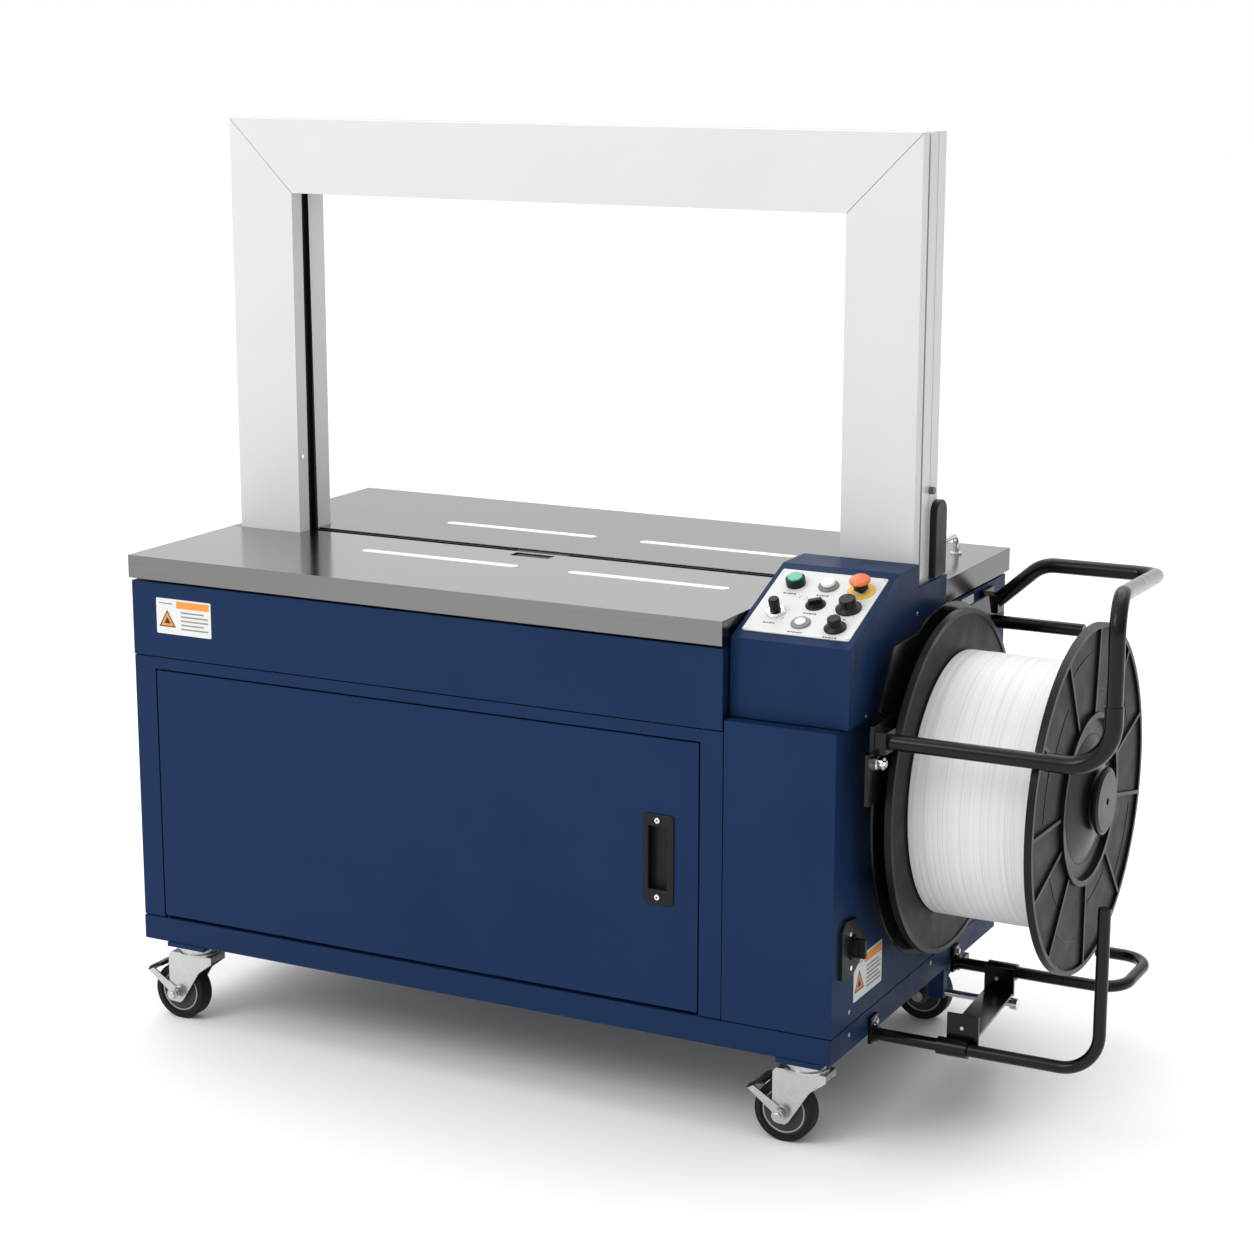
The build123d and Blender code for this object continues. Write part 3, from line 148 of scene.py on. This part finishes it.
def plated(name, color, rough, spread, cell=130):
    """Zinc or chrome plate with soft blotches."""
    shader = Shader(name, rough, metal=1.0)
    shader.color(shader.noise(cell, 5, distortion=0.6), shade(color, 1 - spread), shade(color, 1 + spread))
    shader.rough(shader.noise(cell * 0.5, 4), rough * 0.75, rough * 1.3)
    shader.bump(shader.noise(cell * 6, 2), 0.05, 0.0001, PLATE_EDGE)
    return shader.mat


def strap_winding():
    """White strap wound edge to edge: lines along each turn, with paler and greyer layers."""
    shader = Shader("strap_winding", 0.42, spec=0.4)
    fine = shader.noise(620, 3, (1, 0.003, 0.003))
    broad = shader.noise(60, 3, (1, 0.02, 0.02))
    mix = shader.add("ShaderNodeMath", operation="MULTIPLY_ADD")
    mix.inputs[1].default_value = 0.3
    shader.link(broad, mix.inputs[0])
    half = shader.add("ShaderNodeMath", operation="MULTIPLY")
    half.inputs[1].default_value = 0.7
    shader.link(fine, half.inputs[0])
    shader.link(half.outputs[0], mix.inputs[2])
    stops = ((0.36, (0.6, 0.605, 0.61)), (0.45, (0.72, 0.725, 0.73)), (0.56, (0.79, 0.79, 0.79)))
    shader.link(shader.ramp(mix.outputs[0], stops), shader.bsdf.inputs["Base Color"])
    shader.rough(fine, 0.36, 0.5)
    shader.bump(fine, 0.3, 0.0003)
    return shader.mat


NAVY = (0.0085, 0.0265, 0.079)
M = {
    "navy": coated("navy_powder_coat", NAVY, 0.42, spread=0.05, spec=0.08),
    "navy_frame": coated("navy_frame_paint", shade(NAVY, 0.95), 0.44, spread=0.05, spec=0.08),
    "arch": coated("arch_powder_coat", (0.66, 0.665, 0.66), 0.38, spread=0.015, spec=0.4),
    "plate": coated("control_plate_paint", (0.66, 0.665, 0.655), 0.35, spread=0.02, spec=0.4),
    "black_paint": coated("black_gloss_paint", (0.003, 0.003, 0.0033), 0.2, spread=0.2, spec=0.22, coat=0.06,
                          bump=0.06),
    "black": coated("black_moulding", (0.006, 0.006, 0.0065), 0.4, spread=0.2, grain=900, spec=0.22),
    "black_soft": coated("black_knob_plastic", (0.006, 0.006, 0.006), 0.3, spread=0.2, grain=1200, spec=0.25),
    "flange": coated("flange_plastic", (0.0195, 0.0195, 0.019), 0.46, spread=0.22, grain=600, spec=0.12),
    "flange_rim": coated("flange_rim_plastic", (0.004, 0.004, 0.004), 0.34, spread=0.2, grain=600, spec=0.2),
    "rubber": coated("tyre_rubber", (0.008, 0.008, 0.009), 0.65, spread=0.25, grain=500, bump=0.3, spec=0.2),
    "hub": coated("hub_plastic", (0.04, 0.041, 0.042), 0.48, spread=0.12, spec=0.2),
    "rim": coated("rim_plastic", (0.38, 0.38, 0.37), 0.36, spread=0.08),
    "belt": coated("belt_rubber", (0.014, 0.014, 0.014), 0.75, spread=0.3, bump=0.4),
    "glide": coated("glide_nylon", (0.84, 0.84, 0.83), 0.4, spread=0.03, grain=700, edge=0.0003),
    "green": coated("green_lens", (0.02, 0.36, 0.2), 0.3, spread=0.1, coat=0.5),
    "lamp": coated("white_lens", (0.8, 0.8, 0.78), 0.28, spread=0.04, coat=0.5),
    "orange": coated("stop_plastic", (0.72, 0.14, 0.025), 0.34, spread=0.08, coat=0.3),
    "amber": coated("stop_ring_plastic", (0.85, 0.48, 0.025), 0.4, spread=0.05),
    "grey_ring": coated("grey_ring_plastic", (0.2, 0.205, 0.2), 0.35, spread=0.08),
    "motor": coated("motor_enamel", (0.19, 0.2, 0.21), 0.4, spread=0.1, grain=300, bump=0.3),
    "box": coated("box_powder_coat", (0.5, 0.5, 0.48), 0.45, spread=0.04),
    "ink": coated("printed_ink", (0.02, 0.02, 0.022), 0.5, spread=0.2, edge=0),
    "ink_grey": coated("printed_grey", (0.24, 0.24, 0.25), 0.5, spread=0.15, edge=0),
    "ink_orange": coated("printed_orange", (0.83, 0.27, 0.03), 0.45, spread=0.06, edge=0),
    "paper": coated("label_film", (0.7, 0.7, 0.68), 0.35, spread=0.03, edge=0),
    "stainless": brushed("brushed_stainless", (0.325, 0.324, 0.317), 0.17, 0, spread=0.02, **TABLE_BRUSH),
    # Darker copies of the stainless for the rear plate's top, the lips and the right-hand end: painted shade.
    "shaded_stainless_rear": brushed("brushed_stainless_rear", (0.225, 0.224, 0.22), 0.17, 0, spread=0.02, **TABLE_BRUSH),
    "shaded_stainless_lip": brushed("brushed_stainless_lip", (0.19, 0.189, 0.186), 0.17, 0, spread=0.03, **TABLE_BRUSH),
    "shaded_stainless_end": brushed("brushed_stainless_end", (0.105, 0.104, 0.102), 0.2, 1, spread=0.03, **TABLE_BRUSH),
    "aluminium": brushed("track_aluminium", (0.66, 0.66, 0.66), 0.36, 2, spread=0.04, metal=0.25),
    "aluminium_top": brushed("track_aluminium_beam", (0.66, 0.66, 0.66), 0.36, 0, spread=0.04, metal=0.25),
    "track_dark": coated("track_guide", (0.005, 0.005, 0.006), 0.45, spread=0.2, spec=0.2),
    "steel": brushed("machined_steel", (0.5, 0.5, 0.5), 0.3, 2),
    "zinc": plated("zinc_plate", (0.52, 0.523, 0.525), 0.27, spread=0.05, cell=60),
    # A darker copy of the zinc; on the rear forks it is painted shade.
    "zinc_dark": plated("zinc_plate_rear", (0.14, 0.14, 0.145), 0.35, spread=0.1),
    "chrome": plated("chrome_plate", (0.78, 0.78, 0.79), 0.14, spread=0.04),
    "strap": strap_winding(),
}


def finish(node, *names, rule=None):
    """Give a CAD node its materials; rule(centre, normal) picks the one for each face."""
    mesh = NODES[node].data
    mesh.materials.clear()
    for name in names:
        mesh.materials.append(M[name])
    for polygon in mesh.polygons:
        polygon.material_index = rule(polygon.center, polygon.normal) if rule else 0


for node in ("front_upper_panel", "front_lower_panel", "door_surround", "left_side_panel", "right_side_panel",
             "rear_panel", "console_housing", "door_panel"):
    finish(node, "navy")
finish("cabinet_frame", "navy_frame")
finish("control_plate", "plate")
finish("arch_front_cover", "arch")
finish("arch_back_cover", "arch")
# The reel back plate's black is partly the real black disc behind the reel and partly painted shade between the
# cabinet side and the reel.
for node in ("upper_guard_tube", "lower_guard_tubes", "guard_brackets", "reel_brace", "reel_back_plate"):
    finish(node, "black_paint")
for node in ("column_boot", "main_switch_plate", "main_switch_knob", "door_handle"):
    finish(node, "black")
for node in ("mode_knob", "selector_knob", "speed_knob", "tension_knob", "reel_hub_nut"):
    finish(node, "black_soft")


def table_face(centre, normal):
    """The top, then the right-hand end, then the other lips and the underside; all but the top take darker copies
    of the stainless, as painted shade.
    """
    if normal.z > 0.5:
        return 0
    return 2 if normal.x > 0.5 else 1


# The rear plate's top is a darker copy of the front plate's stainless: painted shade.
for node, face in (("front_table_plate", "stainless"), ("rear_table_plate", "shaded_stainless_rear")):
    finish(node, face, "shaded_stainless_lip", "shaded_stainless_end", rule=table_face)
for node in ("front_glide_strips", "rear_glide_strips"):
    finish(node, "glide")
for node in ("reel_spindle", "cam_shaft", "motor_pulley"):
    finish(node, "steel")
finish("lift_handle", "chrome")
BOOT_BOLT_Z = at(0, 0, 980).z  # only the dark bolt above the column boot is higher
finish("fasteners", "chrome", "zinc_dark", rule=lambda c, n: 1 if c.z > BOOT_BOLT_Z else 0)
finish("gear_motor", "motor")
finish("drive_belt", "belt")
finish("feed_roller", "belt")
finish("strap_magazine", "zinc")
finish("electrical_box", "box")
finish("start_button", "green")
finish("lamp_button", "lamp")
finish("feed_button", "lamp")
finish("strap_coil", "strap")

HEAD_TOP_Z = at(0, 0, 800).z  # the head's dark top shows in the table's gap
finish("strapping_head", "steel", "track_dark", rule=lambda c, n: 1 if c.z > HEAD_TOP_Z else 0)

BEAM_Z = at(0, 0, 1424).z
TRACK_LOW, TRACK_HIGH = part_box("strap_track")
TRACK_MIDDLE_Y, GUIDE_HALF, TRACK_SKIN = at(0, 346, 0).y, 0.0105, 0.006


def track_face(centre, normal):
    """The guide down the middle of the inside is dark; the outside band stays bare aluminium."""
    outside = min(centre.x - TRACK_LOW.x, TRACK_HIGH.x - centre.x, TRACK_HIGH.z - centre.z) < TRACK_SKIN
    if not outside and abs(centre.y - TRACK_MIDDLE_Y) < GUIDE_HALF:
        return 2
    return 1 if centre.z > BEAM_Z else 0


finish("strap_track", "aluminium", "aluminium_top", "track_dark", rule=track_face)


def middle(node):
    low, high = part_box(node)
    return (Vector(low) + Vector(high)) / 2


REEL = middle("outer_flange")
FLANGE_FACE_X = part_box("outer_flange")[1][0] - 0.008
CUP_R, OUTER_RIM_R, INNER_RIM_R = 0.139, 0.269, 0.27


def reel_radius(point):
    return math.hypot(point.y - REEL.y, point.z - REEL.z)


def outer_flange_face(centre, normal):
    flat = centre.x < FLANGE_FACE_X + 0.0008
    return 0 if flat and CUP_R < reel_radius(centre) < OUTER_RIM_R else 1


finish("outer_flange", "flange", "flange_rim", rule=outer_flange_face)
finish("inner_flange", "flange", "flange_rim", rule=lambda c, n: 0 if reel_radius(c) < INNER_RIM_R else 1)

CORNERS = ("front_left", "front_right", "rear_left", "rear_right")
AXLES = {corner: middle(corner + "_wheel") for corner in CORNERS}
TYRE_R, RIM_R, TREAD_R = 0.0385, 0.032, 0.05


def from_axle(corner, point):
    return math.hypot(point.x - AXLES[corner].x, point.z - AXLES[corner].z)


def wheel_rule(corner):
    def pick(centre, normal):
        radius = from_axle(corner, centre)
        return 0 if radius > TYRE_R else (1 if radius > RIM_R else 2)
    return pick


def pedal_rule(corner):
    return lambda centre, normal: 0 if from_axle(corner, centre) > TREAD_R else 1


# The rear forks take the darker zinc as painted shade.
for corner in CORNERS:
    finish(corner + "_wheel", "rubber", "rim", "hub", rule=wheel_rule(corner))
    finish(corner + "_fork", "zinc" if corner.startswith("front") else "zinc_dark")
finish("left_brake_pedal", "black", "zinc", rule=pedal_rule("front_left"))
finish("right_brake_pedal", "black", "zinc", rule=pedal_rule("front_right"))


# ---- mesh helpers ----


def piece(name, mesh, body, slot, *materials):
    """Link a finished mesh as a piece that rides on a body."""
    for material in materials:
        mesh.materials.append(M[material])
    obj = bpy.data.objects.new(name, mesh)
    bpy.context.scene.collection.objects.link(obj)
    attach(obj, body)
    return obj


def to_mesh(bm, name, smooth=False):
    mesh = bpy.data.meshes.new(name)
    bmesh.ops.recalc_face_normals(bm, faces=bm.faces)
    bm.to_mesh(mesh)
    bm.free()
    for polygon in mesh.polygons:
        polygon.use_smooth = smooth
    return mesh


def axes_frame(origin, normal, across):
    """A matrix whose Z is the normal and whose X follows the across direction."""
    z = Vector(normal).normalized()
    x = (Vector(across) - z * Vector(across).dot(z)).normalized()
    y = z.cross(x)
    return Matrix.Translation(origin) @ Matrix((x, y, z)).transposed().to_4x4()


def add_prism(bm, matrix, outline, z0, z1, index=0):
    """Extrude a flat outline (metres, in the matrix's XY) from z0 to z1."""
    low = [bm.verts.new(matrix @ Vector((x, y, z0))) for x, y in outline]
    high = [bm.verts.new(matrix @ Vector((x, y, z1))) for x, y in outline]
    faces = [bm.faces.new(list(reversed(low))), bm.faces.new(high)]
    for i in range(len(outline)):
        j = (i + 1) % len(outline)
        faces.append(bm.faces.new((low[i], low[j], high[j], high[i])))
    for face in faces:
        face.material_index = index


def add_lathe(bm, matrix, profile, steps, closed=True):
    """Revolve (radius, height) points about the matrix's Z."""
    rings = []
    for radius, height in profile:
        if radius < 1e-7:
            rings.append([bm.verts.new(matrix @ Vector((0, 0, height)))])
            continue
        ring = []
        for step in range(steps):
            angle = 2 * math.pi * step / steps
            point = Vector((radius * math.cos(angle), radius * math.sin(angle), height))
            ring.append(bm.verts.new(matrix @ point))
        rings.append(ring)
    pairs = list(zip(rings, rings[1:]))
    if closed:
        pairs.append((rings[-1], rings[0]))
    for a, b in pairs:
        for step in range(steps):
            nxt = (step + 1) % steps
            corners = [a[step % len(a)], a[nxt % len(a)], b[nxt % len(b)], b[step % len(b)]]
            corners = [v for i, v in enumerate(corners) if v not in corners[:i]]
            if len(corners) > 2:
                bm.faces.new(corners)


def rounded(width, height, radius, steps=5):
    """The outline of a rounded rectangle round the origin."""
    points = []
    for quarter, (sx, sy) in enumerate(((1, 1), (-1, 1), (-1, -1), (1, -1))):
        cx, cy = sx * (width / 2 - radius), sy * (height / 2 - radius)
        for step in range(steps + 1):
            angle = math.pi / 2 * (quarter + step / steps)
            points.append((cx + radius * math.cos(angle), cy + radius * math.sin(angle)))
    return points


def moved(outline, dx, dy, turn=0.0):
    c, s = math.cos(turn), math.sin(turn)
    return [(dx + x * c - y * s, dy + x * s + y * c) for x, y in outline]


def polygon(count, radius, start=0.0):
    angles = [start + 2 * math.pi * k / count for k in range(count)]
    return [(radius * math.cos(angle), radius * math.sin(angle)) for angle in angles]


def hex_bolt(bm, origin, normal, size, height, washer=True):
    """A chamfered hexagon head, on a washer unless told otherwise."""
    matrix = axes_frame(origin, normal, (0.3, 0.5, 0.8))
    base = 0.0
    if washer:
        base = height * 0.25
        add_lathe(bm, matrix, ((0, 0), (size * 1.35, 0), (size * 1.35, base), (0, base)), 32, closed=False)
    add_prism(bm, matrix, polygon(6, size), base, height * 0.85)
    crown = ((0, height * 0.84), (size * 0.86, height * 0.84), (size * 0.74, height), (0, height))
    add_lathe(bm, matrix, crown, 24, closed=False)


def cross_screw(bm, origin, normal, size, dome):
    """A domed screw head whose cross recess is drawn as two dark bars, level with the dome; the bars' dark is
    painted shade in the recess.
    """
    matrix = axes_frame(origin, normal, (0.9, 0.2, 0.35))
    profile = [(0, 0), (size, 0), (size, dome * 0.35), (size * 0.82, dome * 0.8), (size * 0.45, dome), (0, dome)]
    add_lathe(bm, matrix, profile, 32, closed=False)
    bar = rounded(size * 1.1, size * 0.24, size * 0.08, 2)
    for turn in (0, math.pi / 2):
        add_prism(bm, matrix, moved(bar, 0, 0, turn), dome * 0.9, dome + 0.00008, 1)


# ---- console: slope frame, printed marks, bezels ----
SLOPE_FOOT = at(0, 27, 801)
SLOPE_RISE, SLOPE_RUN = 81, 193
SLOPE_LEN = math.hypot(SLOPE_RISE, SLOPE_RUN)
SLOPE_UP = Vector((0, SLOPE_RUN, SLOPE_RISE)) / SLOPE_LEN
SLOPE_NORMAL = Vector((0, -SLOPE_RISE, SLOPE_RUN)) / SLOPE_LEN
PLATE_TOP = 0.002
STOP_CAP = 0.0198  # the stop button is orange above this height and black below
SPOTS = {"start": (1160, 152), "lamp": (1214, 154), "stop": (1270, 150), "mode": (1159, 72),
         "selector": (1213, 102), "speed": (1268, 101), "feed": (1209, 51), "tension": (1267, 48)}


def slope(x, along, height=0.0):
    """A matrix standing on the console's slope, its Z along the slope's normal."""
    origin = Vector((CORNER.x + x / 1000, SLOPE_FOOT.y, SLOPE_FOOT.z)) + SLOPE_UP * (along / 1000)
    return axes_frame(origin + SLOPE_NORMAL * height, SLOPE_NORMAL, (1, 0, 0))


def near_spot(centre, key):
    x, along = SPOTS[key]
    offset = centre - slope(x, along).translation
    return (offset - SLOPE_NORMAL * offset.dot(SLOPE_NORMAL)).length


BEZEL_MATERIALS = {"start": 0, "lamp": 1, "stop": 2, "mode": 3, "selector": 0, "feed": 1}
finish("control_bezels", "black_soft", "grey_ring", "amber", "chrome",
       rule=lambda c, n: BEZEL_MATERIALS[min(BEZEL_MATERIALS, key=lambda key: near_spot(c, key))])


def stop_face(centre, normal):
    height = (centre - slope(*SPOTS["stop"]).translation).dot(SLOPE_NORMAL)
    return 0 if height > STOP_CAP else 1


finish("stop_button", "orange", "black_soft", rule=stop_face)

marks = bmesh.new()
INK_TOP = PLATE_TOP + 0.00012
for key, dashes, gap, width in (("start", 5, -27, 18), ("lamp", 5, -26, 17), ("selector", 5, -24, 18),
                                ("speed", 2, -29, 12), ("feed", 6, -24, 20), ("tension", 5, -25, 19),
                                ("mode", 4, -28, 16), ("stop", 2, -30, 9)):
    x, along = SPOTS[key]
    for k in range(dashes):
        dx = (k - (dashes - 1) / 2) * width / dashes * 1.25
        tall = 0.0024 if k % 2 else 0.0034
        add_prism(marks, slope(x + dx, along + gap), rounded(width / dashes * 0.0009, tall, 0.0003, 2),
                  PLATE_TOP, INK_TOP, 0)
for key, radius, first, last, count in (("speed", 24, -50, 230, 11), ("tension", 21, -50, 230, 11),
                                        ("mode", 20, 30, 150, 5)):
    for k in range(count):
        angle = math.radians(first + (last - first) * k / (count - 1))
        long_tick = 0.0032 if k % 5 == 0 else 0.002
        add_prism(marks, slope(*SPOTS[key]), moved(rounded(long_tick, 0.0006, 0.0002, 1),
                  radius / 1000 * math.cos(angle), radius / 1000 * math.sin(angle), angle), PLATE_TOP, INK_TOP, 0)
for x, along, radius in ((1186, 118, 6.5), (1171, 60, 5.5)):
    matrix = slope(x, along)
    for k in range(16):
        if k in (3, 4, 11, 12):
            continue
        angle = 2 * math.pi * k / 16
        add_prism(marks, matrix, moved(rounded(0.0027, 0.0007, 0.0002, 1), radius / 1000 * math.cos(angle),
                  radius / 1000 * math.sin(angle) * 0.6, angle + math.pi / 2), PLATE_TOP, INK_TOP, 1)
piece("control_plate_marks", to_mesh(marks, "control_plate_marks"), "machine", "control_plate_paint", "ink",
      "ink_grey")

# ---- generic cards, screws and bolts ----
FILM, PRINT_LOW, PRINT_TOP = 0.00025, 0.0002, 0.0004


def card(name, corner, across, up, size, bars, warning=True):
    """A generic card of pale film with rows of grey bars; a warning card adds an orange band and a triangle."""
    bm = bmesh.new()
    across, up = Vector(across), Vector(up)
    normal = across.cross(up)
    width, height = size
    matrix = axes_frame(Vector(corner) + across * (width / 2) + up * (height / 2), normal, across)
    add_prism(bm, matrix, rounded(width, height, 0.002, 3), 0, FILM, 0)
    band = height * 0.2
    if warning:
        stripe = rounded(width * 0.6, band, 0.0008, 2)
        add_prism(bm, matrix, moved(stripe, width * 0.17, height / 2 - band * 0.75), PRINT_LOW, PRINT_TOP, 1)
        for reach, top, index in ((0.32, PRINT_TOP, 2), (0.25, 0.0005, 1), (0.13, 0.0006, 2)):
            triangle = polygon(3, height * reach, math.pi / 2)
            add_prism(bm, matrix, moved(triangle, -width * 0.3, -height * 0.14), PRINT_LOW, top, index)
    heading = rounded(width * 0.24, height * 0.035, 0.0002, 1)
    add_prism(bm, matrix, moved(heading, -width * 0.32, height * 0.36), PRINT_LOW, PRINT_TOP, 3)
    for row in range(bars):
        length = width * (0.5 if row % 3 else 0.42)
        line = rounded(length, height * 0.045, 0.0003, 1)
        add_prism(bm, matrix, moved(line, width * 0.2 - (width * 0.5 - length) / 2,
                  height * (0.14 - 0.58 * row / bars)), PRINT_LOW, PRINT_TOP, 3)
    return piece(name, to_mesh(bm, name), "machine", "navy_paint", "paper", "ink_orange", "ink", "ink_grey")


FRONT_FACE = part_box("front_upper_panel")[0][1]
SIDE_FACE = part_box("right_side_panel")[1][0]
CAB_X1, LOW_Y, BUMP_Y, LOW_Z, SEAM_Y = 1300, 170, 540, 147, 626
card("front_card", (at(53, 0, 0).x, FRONT_FACE - 0.0003, at(0, 0, 700).z), (1, 0, 0), (0, 0, 1),
     (0.112, 0.061), 5)
card("side_card", (SIDE_FACE + 0.00005, at(0, 92, 0).y, at(0, 0, 222).z), (0, 1, 0), (0, 0, 1), (0.116, 0.07), 6)
card("rear_card", (SIDE_FACE + 0.00005, at(0, 528, 0).y, at(0, 0, 733).z), (0, 1, 0), (0, 0, 1), (0.058, 0.048), 4,
     warning=False)

# A strip behind the seam of the right side panel; it darkens the seam as painted shade.
backing = bmesh.new()
SEAM_BACK = (SIDE_FACE - 0.0028, at(0, SEAM_Y, 0).y, at(0, 0, 490).z)
add_prism(backing, axes_frame(SEAM_BACK, (1, 0, 0), (0, 1, 0)), rounded(0.014, 0.585, 0.002, 3), 0, 0.0006)
piece("seam_backing", to_mesh(backing, "seam_backing"), "machine", "navy_paint", "navy_frame")

screws = bmesh.new()
HANDLE_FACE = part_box("door_handle")[0][1]
for z in (376, 501):
    cross_screw(screws, (at(1003, 0, 0).x, HANDLE_FACE + 0.0006, at(0, 0, z).z), (0, -1, 0), 0.0048, 0.0011)
# The handle screws' recess bars take the dark ink as painted shade.
piece("handle_screws", to_mesh(screws, "handle_screws"), "door", "chrome", "chrome", "ink")

bolts = bmesh.new()
for y, z in ((76, 213), (78, 175), (430, 180), (596, 300), (596, 480)):
    cross_screw(bolts, (SIDE_FACE - 0.0001, at(0, y, 0).y, at(0, 0, z).z), (1, 0, 0), 0.0036, 0.0014)
CONSOLE_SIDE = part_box("console_housing")[1][0]
for y, z in ((221, 765), (210, 740), (95, 684), (300, 803)):
    cross_screw(bolts, (CONSOLE_SIDE - 0.0001, at(0, y, 0).y, at(0, 0, z).z), (1, 0, 0), 0.0034, 0.0014)
# The side screws' recess bars take the dark ink as painted shade.
piece("side_screws", to_mesh(bolts, "side_screws"), "machine", "zinc_steel", "zinc", "ink")

nuts = bmesh.new()
for y in (LOW_Y, BUMP_Y):
    hex_bolt(nuts, at(CAB_X1 + 5.9, y, LOW_Z + 21), (1, 0, 0), 0.0052, 0.0058)
for x, y, z in ((1449, LOW_Y + 10.2, 178), (1384, BUMP_Y - 14.8, 136)):
    hex_bolt(nuts, at(x, y, z), (0, -1, 0), 0.0036, 0.004, washer=False)
piece("guard_nuts", to_mesh(nuts, "guard_nuts"), "machine", "zinc_steel", "zinc")

for corner in CORNERS:
    axle = AXLES[corner]
    low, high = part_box(corner + "_fork")
    nuts, rims = bmesh.new(), bmesh.new()
    for y, sign in ((low[1], -1), (high[1], 1)):
        hex_bolt(nuts, (axle.x, y - sign * 0.0004, axle.z), (0, sign, 0), 0.0076, 0.0042)
        matrix = axes_frame(Vector((axle.x, axle.y + sign * 0.0109, axle.z)), (0, sign, 0), (1, 0, 0))
        add_lathe(rims, matrix, ((0.0335, 0), (0.0362, 0), (0.0358, 0.0012), (0.0339, 0.0012)), 64)
    nuts_name, rims_name = corner + "_axle_nuts", corner + "_rim_rings"
    piece(nuts_name, to_mesh(nuts, nuts_name), corner + "_caster", "zinc_steel", "zinc")
    piece(rims_name, to_mesh(rims, rims_name, True), corner + "_wheel", "tyre_rubber", "rim")

# Moulding arcs on the outer flange, between the cup and the rim.
arcs = bmesh.new()
ARC_STEPS, ARC_HALF, ARC_HEIGHT, ARC_LAP = 10, 0.0008, 0.0009, 1.04
ARCS = ((0.215, 20, 46), (0.175, 52, 82), (0.235, 88, 114), (0.19, 204, 228), (0.225, 234, 266),
        (0.18, 274, 306), (0.24, 314, 344), (0.2, 122, 146), (0.215, 152, 176))  # radius, first and last degree
for radius, first, last in ARCS:
    matrix = axes_frame(Vector((FLANGE_FACE_X - 0.0001, REEL.y, REEL.z)), (1, 0, 0), (0, 1, 0))
    half = radius * math.sin(math.radians((last - first) / (2 * ARC_STEPS))) * ARC_LAP
    link = [(-half, -ARC_HALF), (half, -ARC_HALF), (half, ARC_HALF), (-half, ARC_HALF)]
    for k in range(ARC_STEPS):
        angle = math.radians(first + (last - first) * (k + 0.5) / ARC_STEPS)
        across, up = radius * math.cos(angle), radius * math.sin(angle)
        add_prism(arcs, matrix, moved(link, across, up, angle + math.pi / 2), 0, ARC_HEIGHT)
piece("flange_arcs", to_mesh(arcs, "flange_arcs"), "reel", "flange_plastic", "flange_rim")

# ---- camera, light and floor ----
camera = bpy.data.cameras.new("camera")
camera.lens = 77.04
camera.sensor_width = 36
camera.clip_end = 100
camera_object = bpy.data.objects.new("camera", camera)
bpy.context.scene.collection.objects.link(camera_object)
AZIMUTH, ELEVATION, ROLL = 0.475464, 0.222870, 0.001582
back = Vector((math.sin(AZIMUTH) * math.cos(ELEVATION), -math.cos(AZIMUTH) * math.cos(ELEVATION),
               math.sin(ELEVATION)))
right = Vector((math.cos(AZIMUTH), math.sin(AZIMUTH), 0))
turned_right = right * math.cos(ROLL) + back.cross(right) * math.sin(ROLL)
camera_object.matrix_world = (Matrix.Translation(at(2791.6, -3575.7, 1715.9))
                              @ Matrix((turned_right, back.cross(turned_right), back)).transposed().to_4x4())
bpy.context.scene.camera = camera_object


def area_light(name, place, target, size, power):
    light = bpy.data.lights.new(name, "AREA")
    light.shape = "RECTANGLE"
    light.size, light.size_y = size
    light.energy = power
    obj = bpy.data.objects.new(name, light)
    bpy.context.scene.collection.objects.link(obj)
    obj.location = place
    obj.rotation_mode = "QUATERNION"
    obj.rotation_quaternion = (Vector(target) - Vector(place)).to_track_quat("-Z", "Y")


CENTRE = Vector((0, 0, 0.7))
area_light("key", (-2.4, -4.4, 4.0), CENTRE, (2.4, 2.4), 75)
area_light("overhead", (0.2, 1.6, 4.6), CENTRE, (5.0, 4.0), 80)

world = bpy.data.worlds.new("studio")
world.use_nodes = True
bpy.context.scene.world = world
nodes, links = world.node_tree.nodes, world.node_tree.links
background = nodes["Background"]
direction = nodes.new("ShaderNodeTexCoord")
split = nodes.new("ShaderNodeSeparateXYZ")
links.new(direction.outputs["Generated"], split.inputs[0])


def world_ramp(source, low, high, dark, bright):
    """Brightness from one component of the direction."""
    span = nodes.new("ShaderNodeMapRange")
    span.interpolation_type = "SMOOTHSTEP"
    for socket, value in (("From Min", low), ("From Max", high), ("To Min", dark), ("To Max", bright)):
        span.inputs[socket].default_value = value
    links.new(source, span.inputs["Value"])
    return span.outputs["Result"]


height = world_ramp(split.outputs["Z"], -0.1, 0.8, 0.7, 1.28)
side = world_ramp(split.outputs["X"], -0.3, 0.95, 1.1, 0.48)
product = nodes.new("ShaderNodeMath")
product.operation = "MULTIPLY"
links.new(height, product.inputs[0])
links.new(side, product.inputs[1])
path = nodes.new("ShaderNodeLightPath")
mix = nodes.new("ShaderNodeMix")
mix.data_type = "FLOAT"
links.new(path.outputs["Is Camera Ray"], mix.inputs[0])
links.new(product.outputs[0], mix.inputs[2])
mix.inputs[3].default_value = 1.0
links.new(mix.outputs[0], background.inputs["Strength"])
background.inputs["Color"].default_value = (1, 1, 1, 1)

floor_mesh = bpy.data.meshes.new("floor")
REACH = 30
floor_mesh.from_pydata([(-REACH, -REACH, 0), (REACH, -REACH, 0), (REACH, REACH, 0), (-REACH, REACH, 0)], [],
                       [(0, 1, 2, 3)])
floor = bpy.data.objects.new("floor", floor_mesh)
bpy.context.scene.collection.objects.link(floor)
floor_shader = Shader("studio_floor", 0.75, spec=0.2)
floor_shader.color(floor_shader.noise(1.5, 3), (0.975, 0.975, 0.975), (0.985, 0.985, 0.985))
floor_mesh.materials.append(floor_shader.mat)
bpy.context.scene.view_settings.view_transform = "Standard"
bpy.context.scene.view_settings.look = "None"
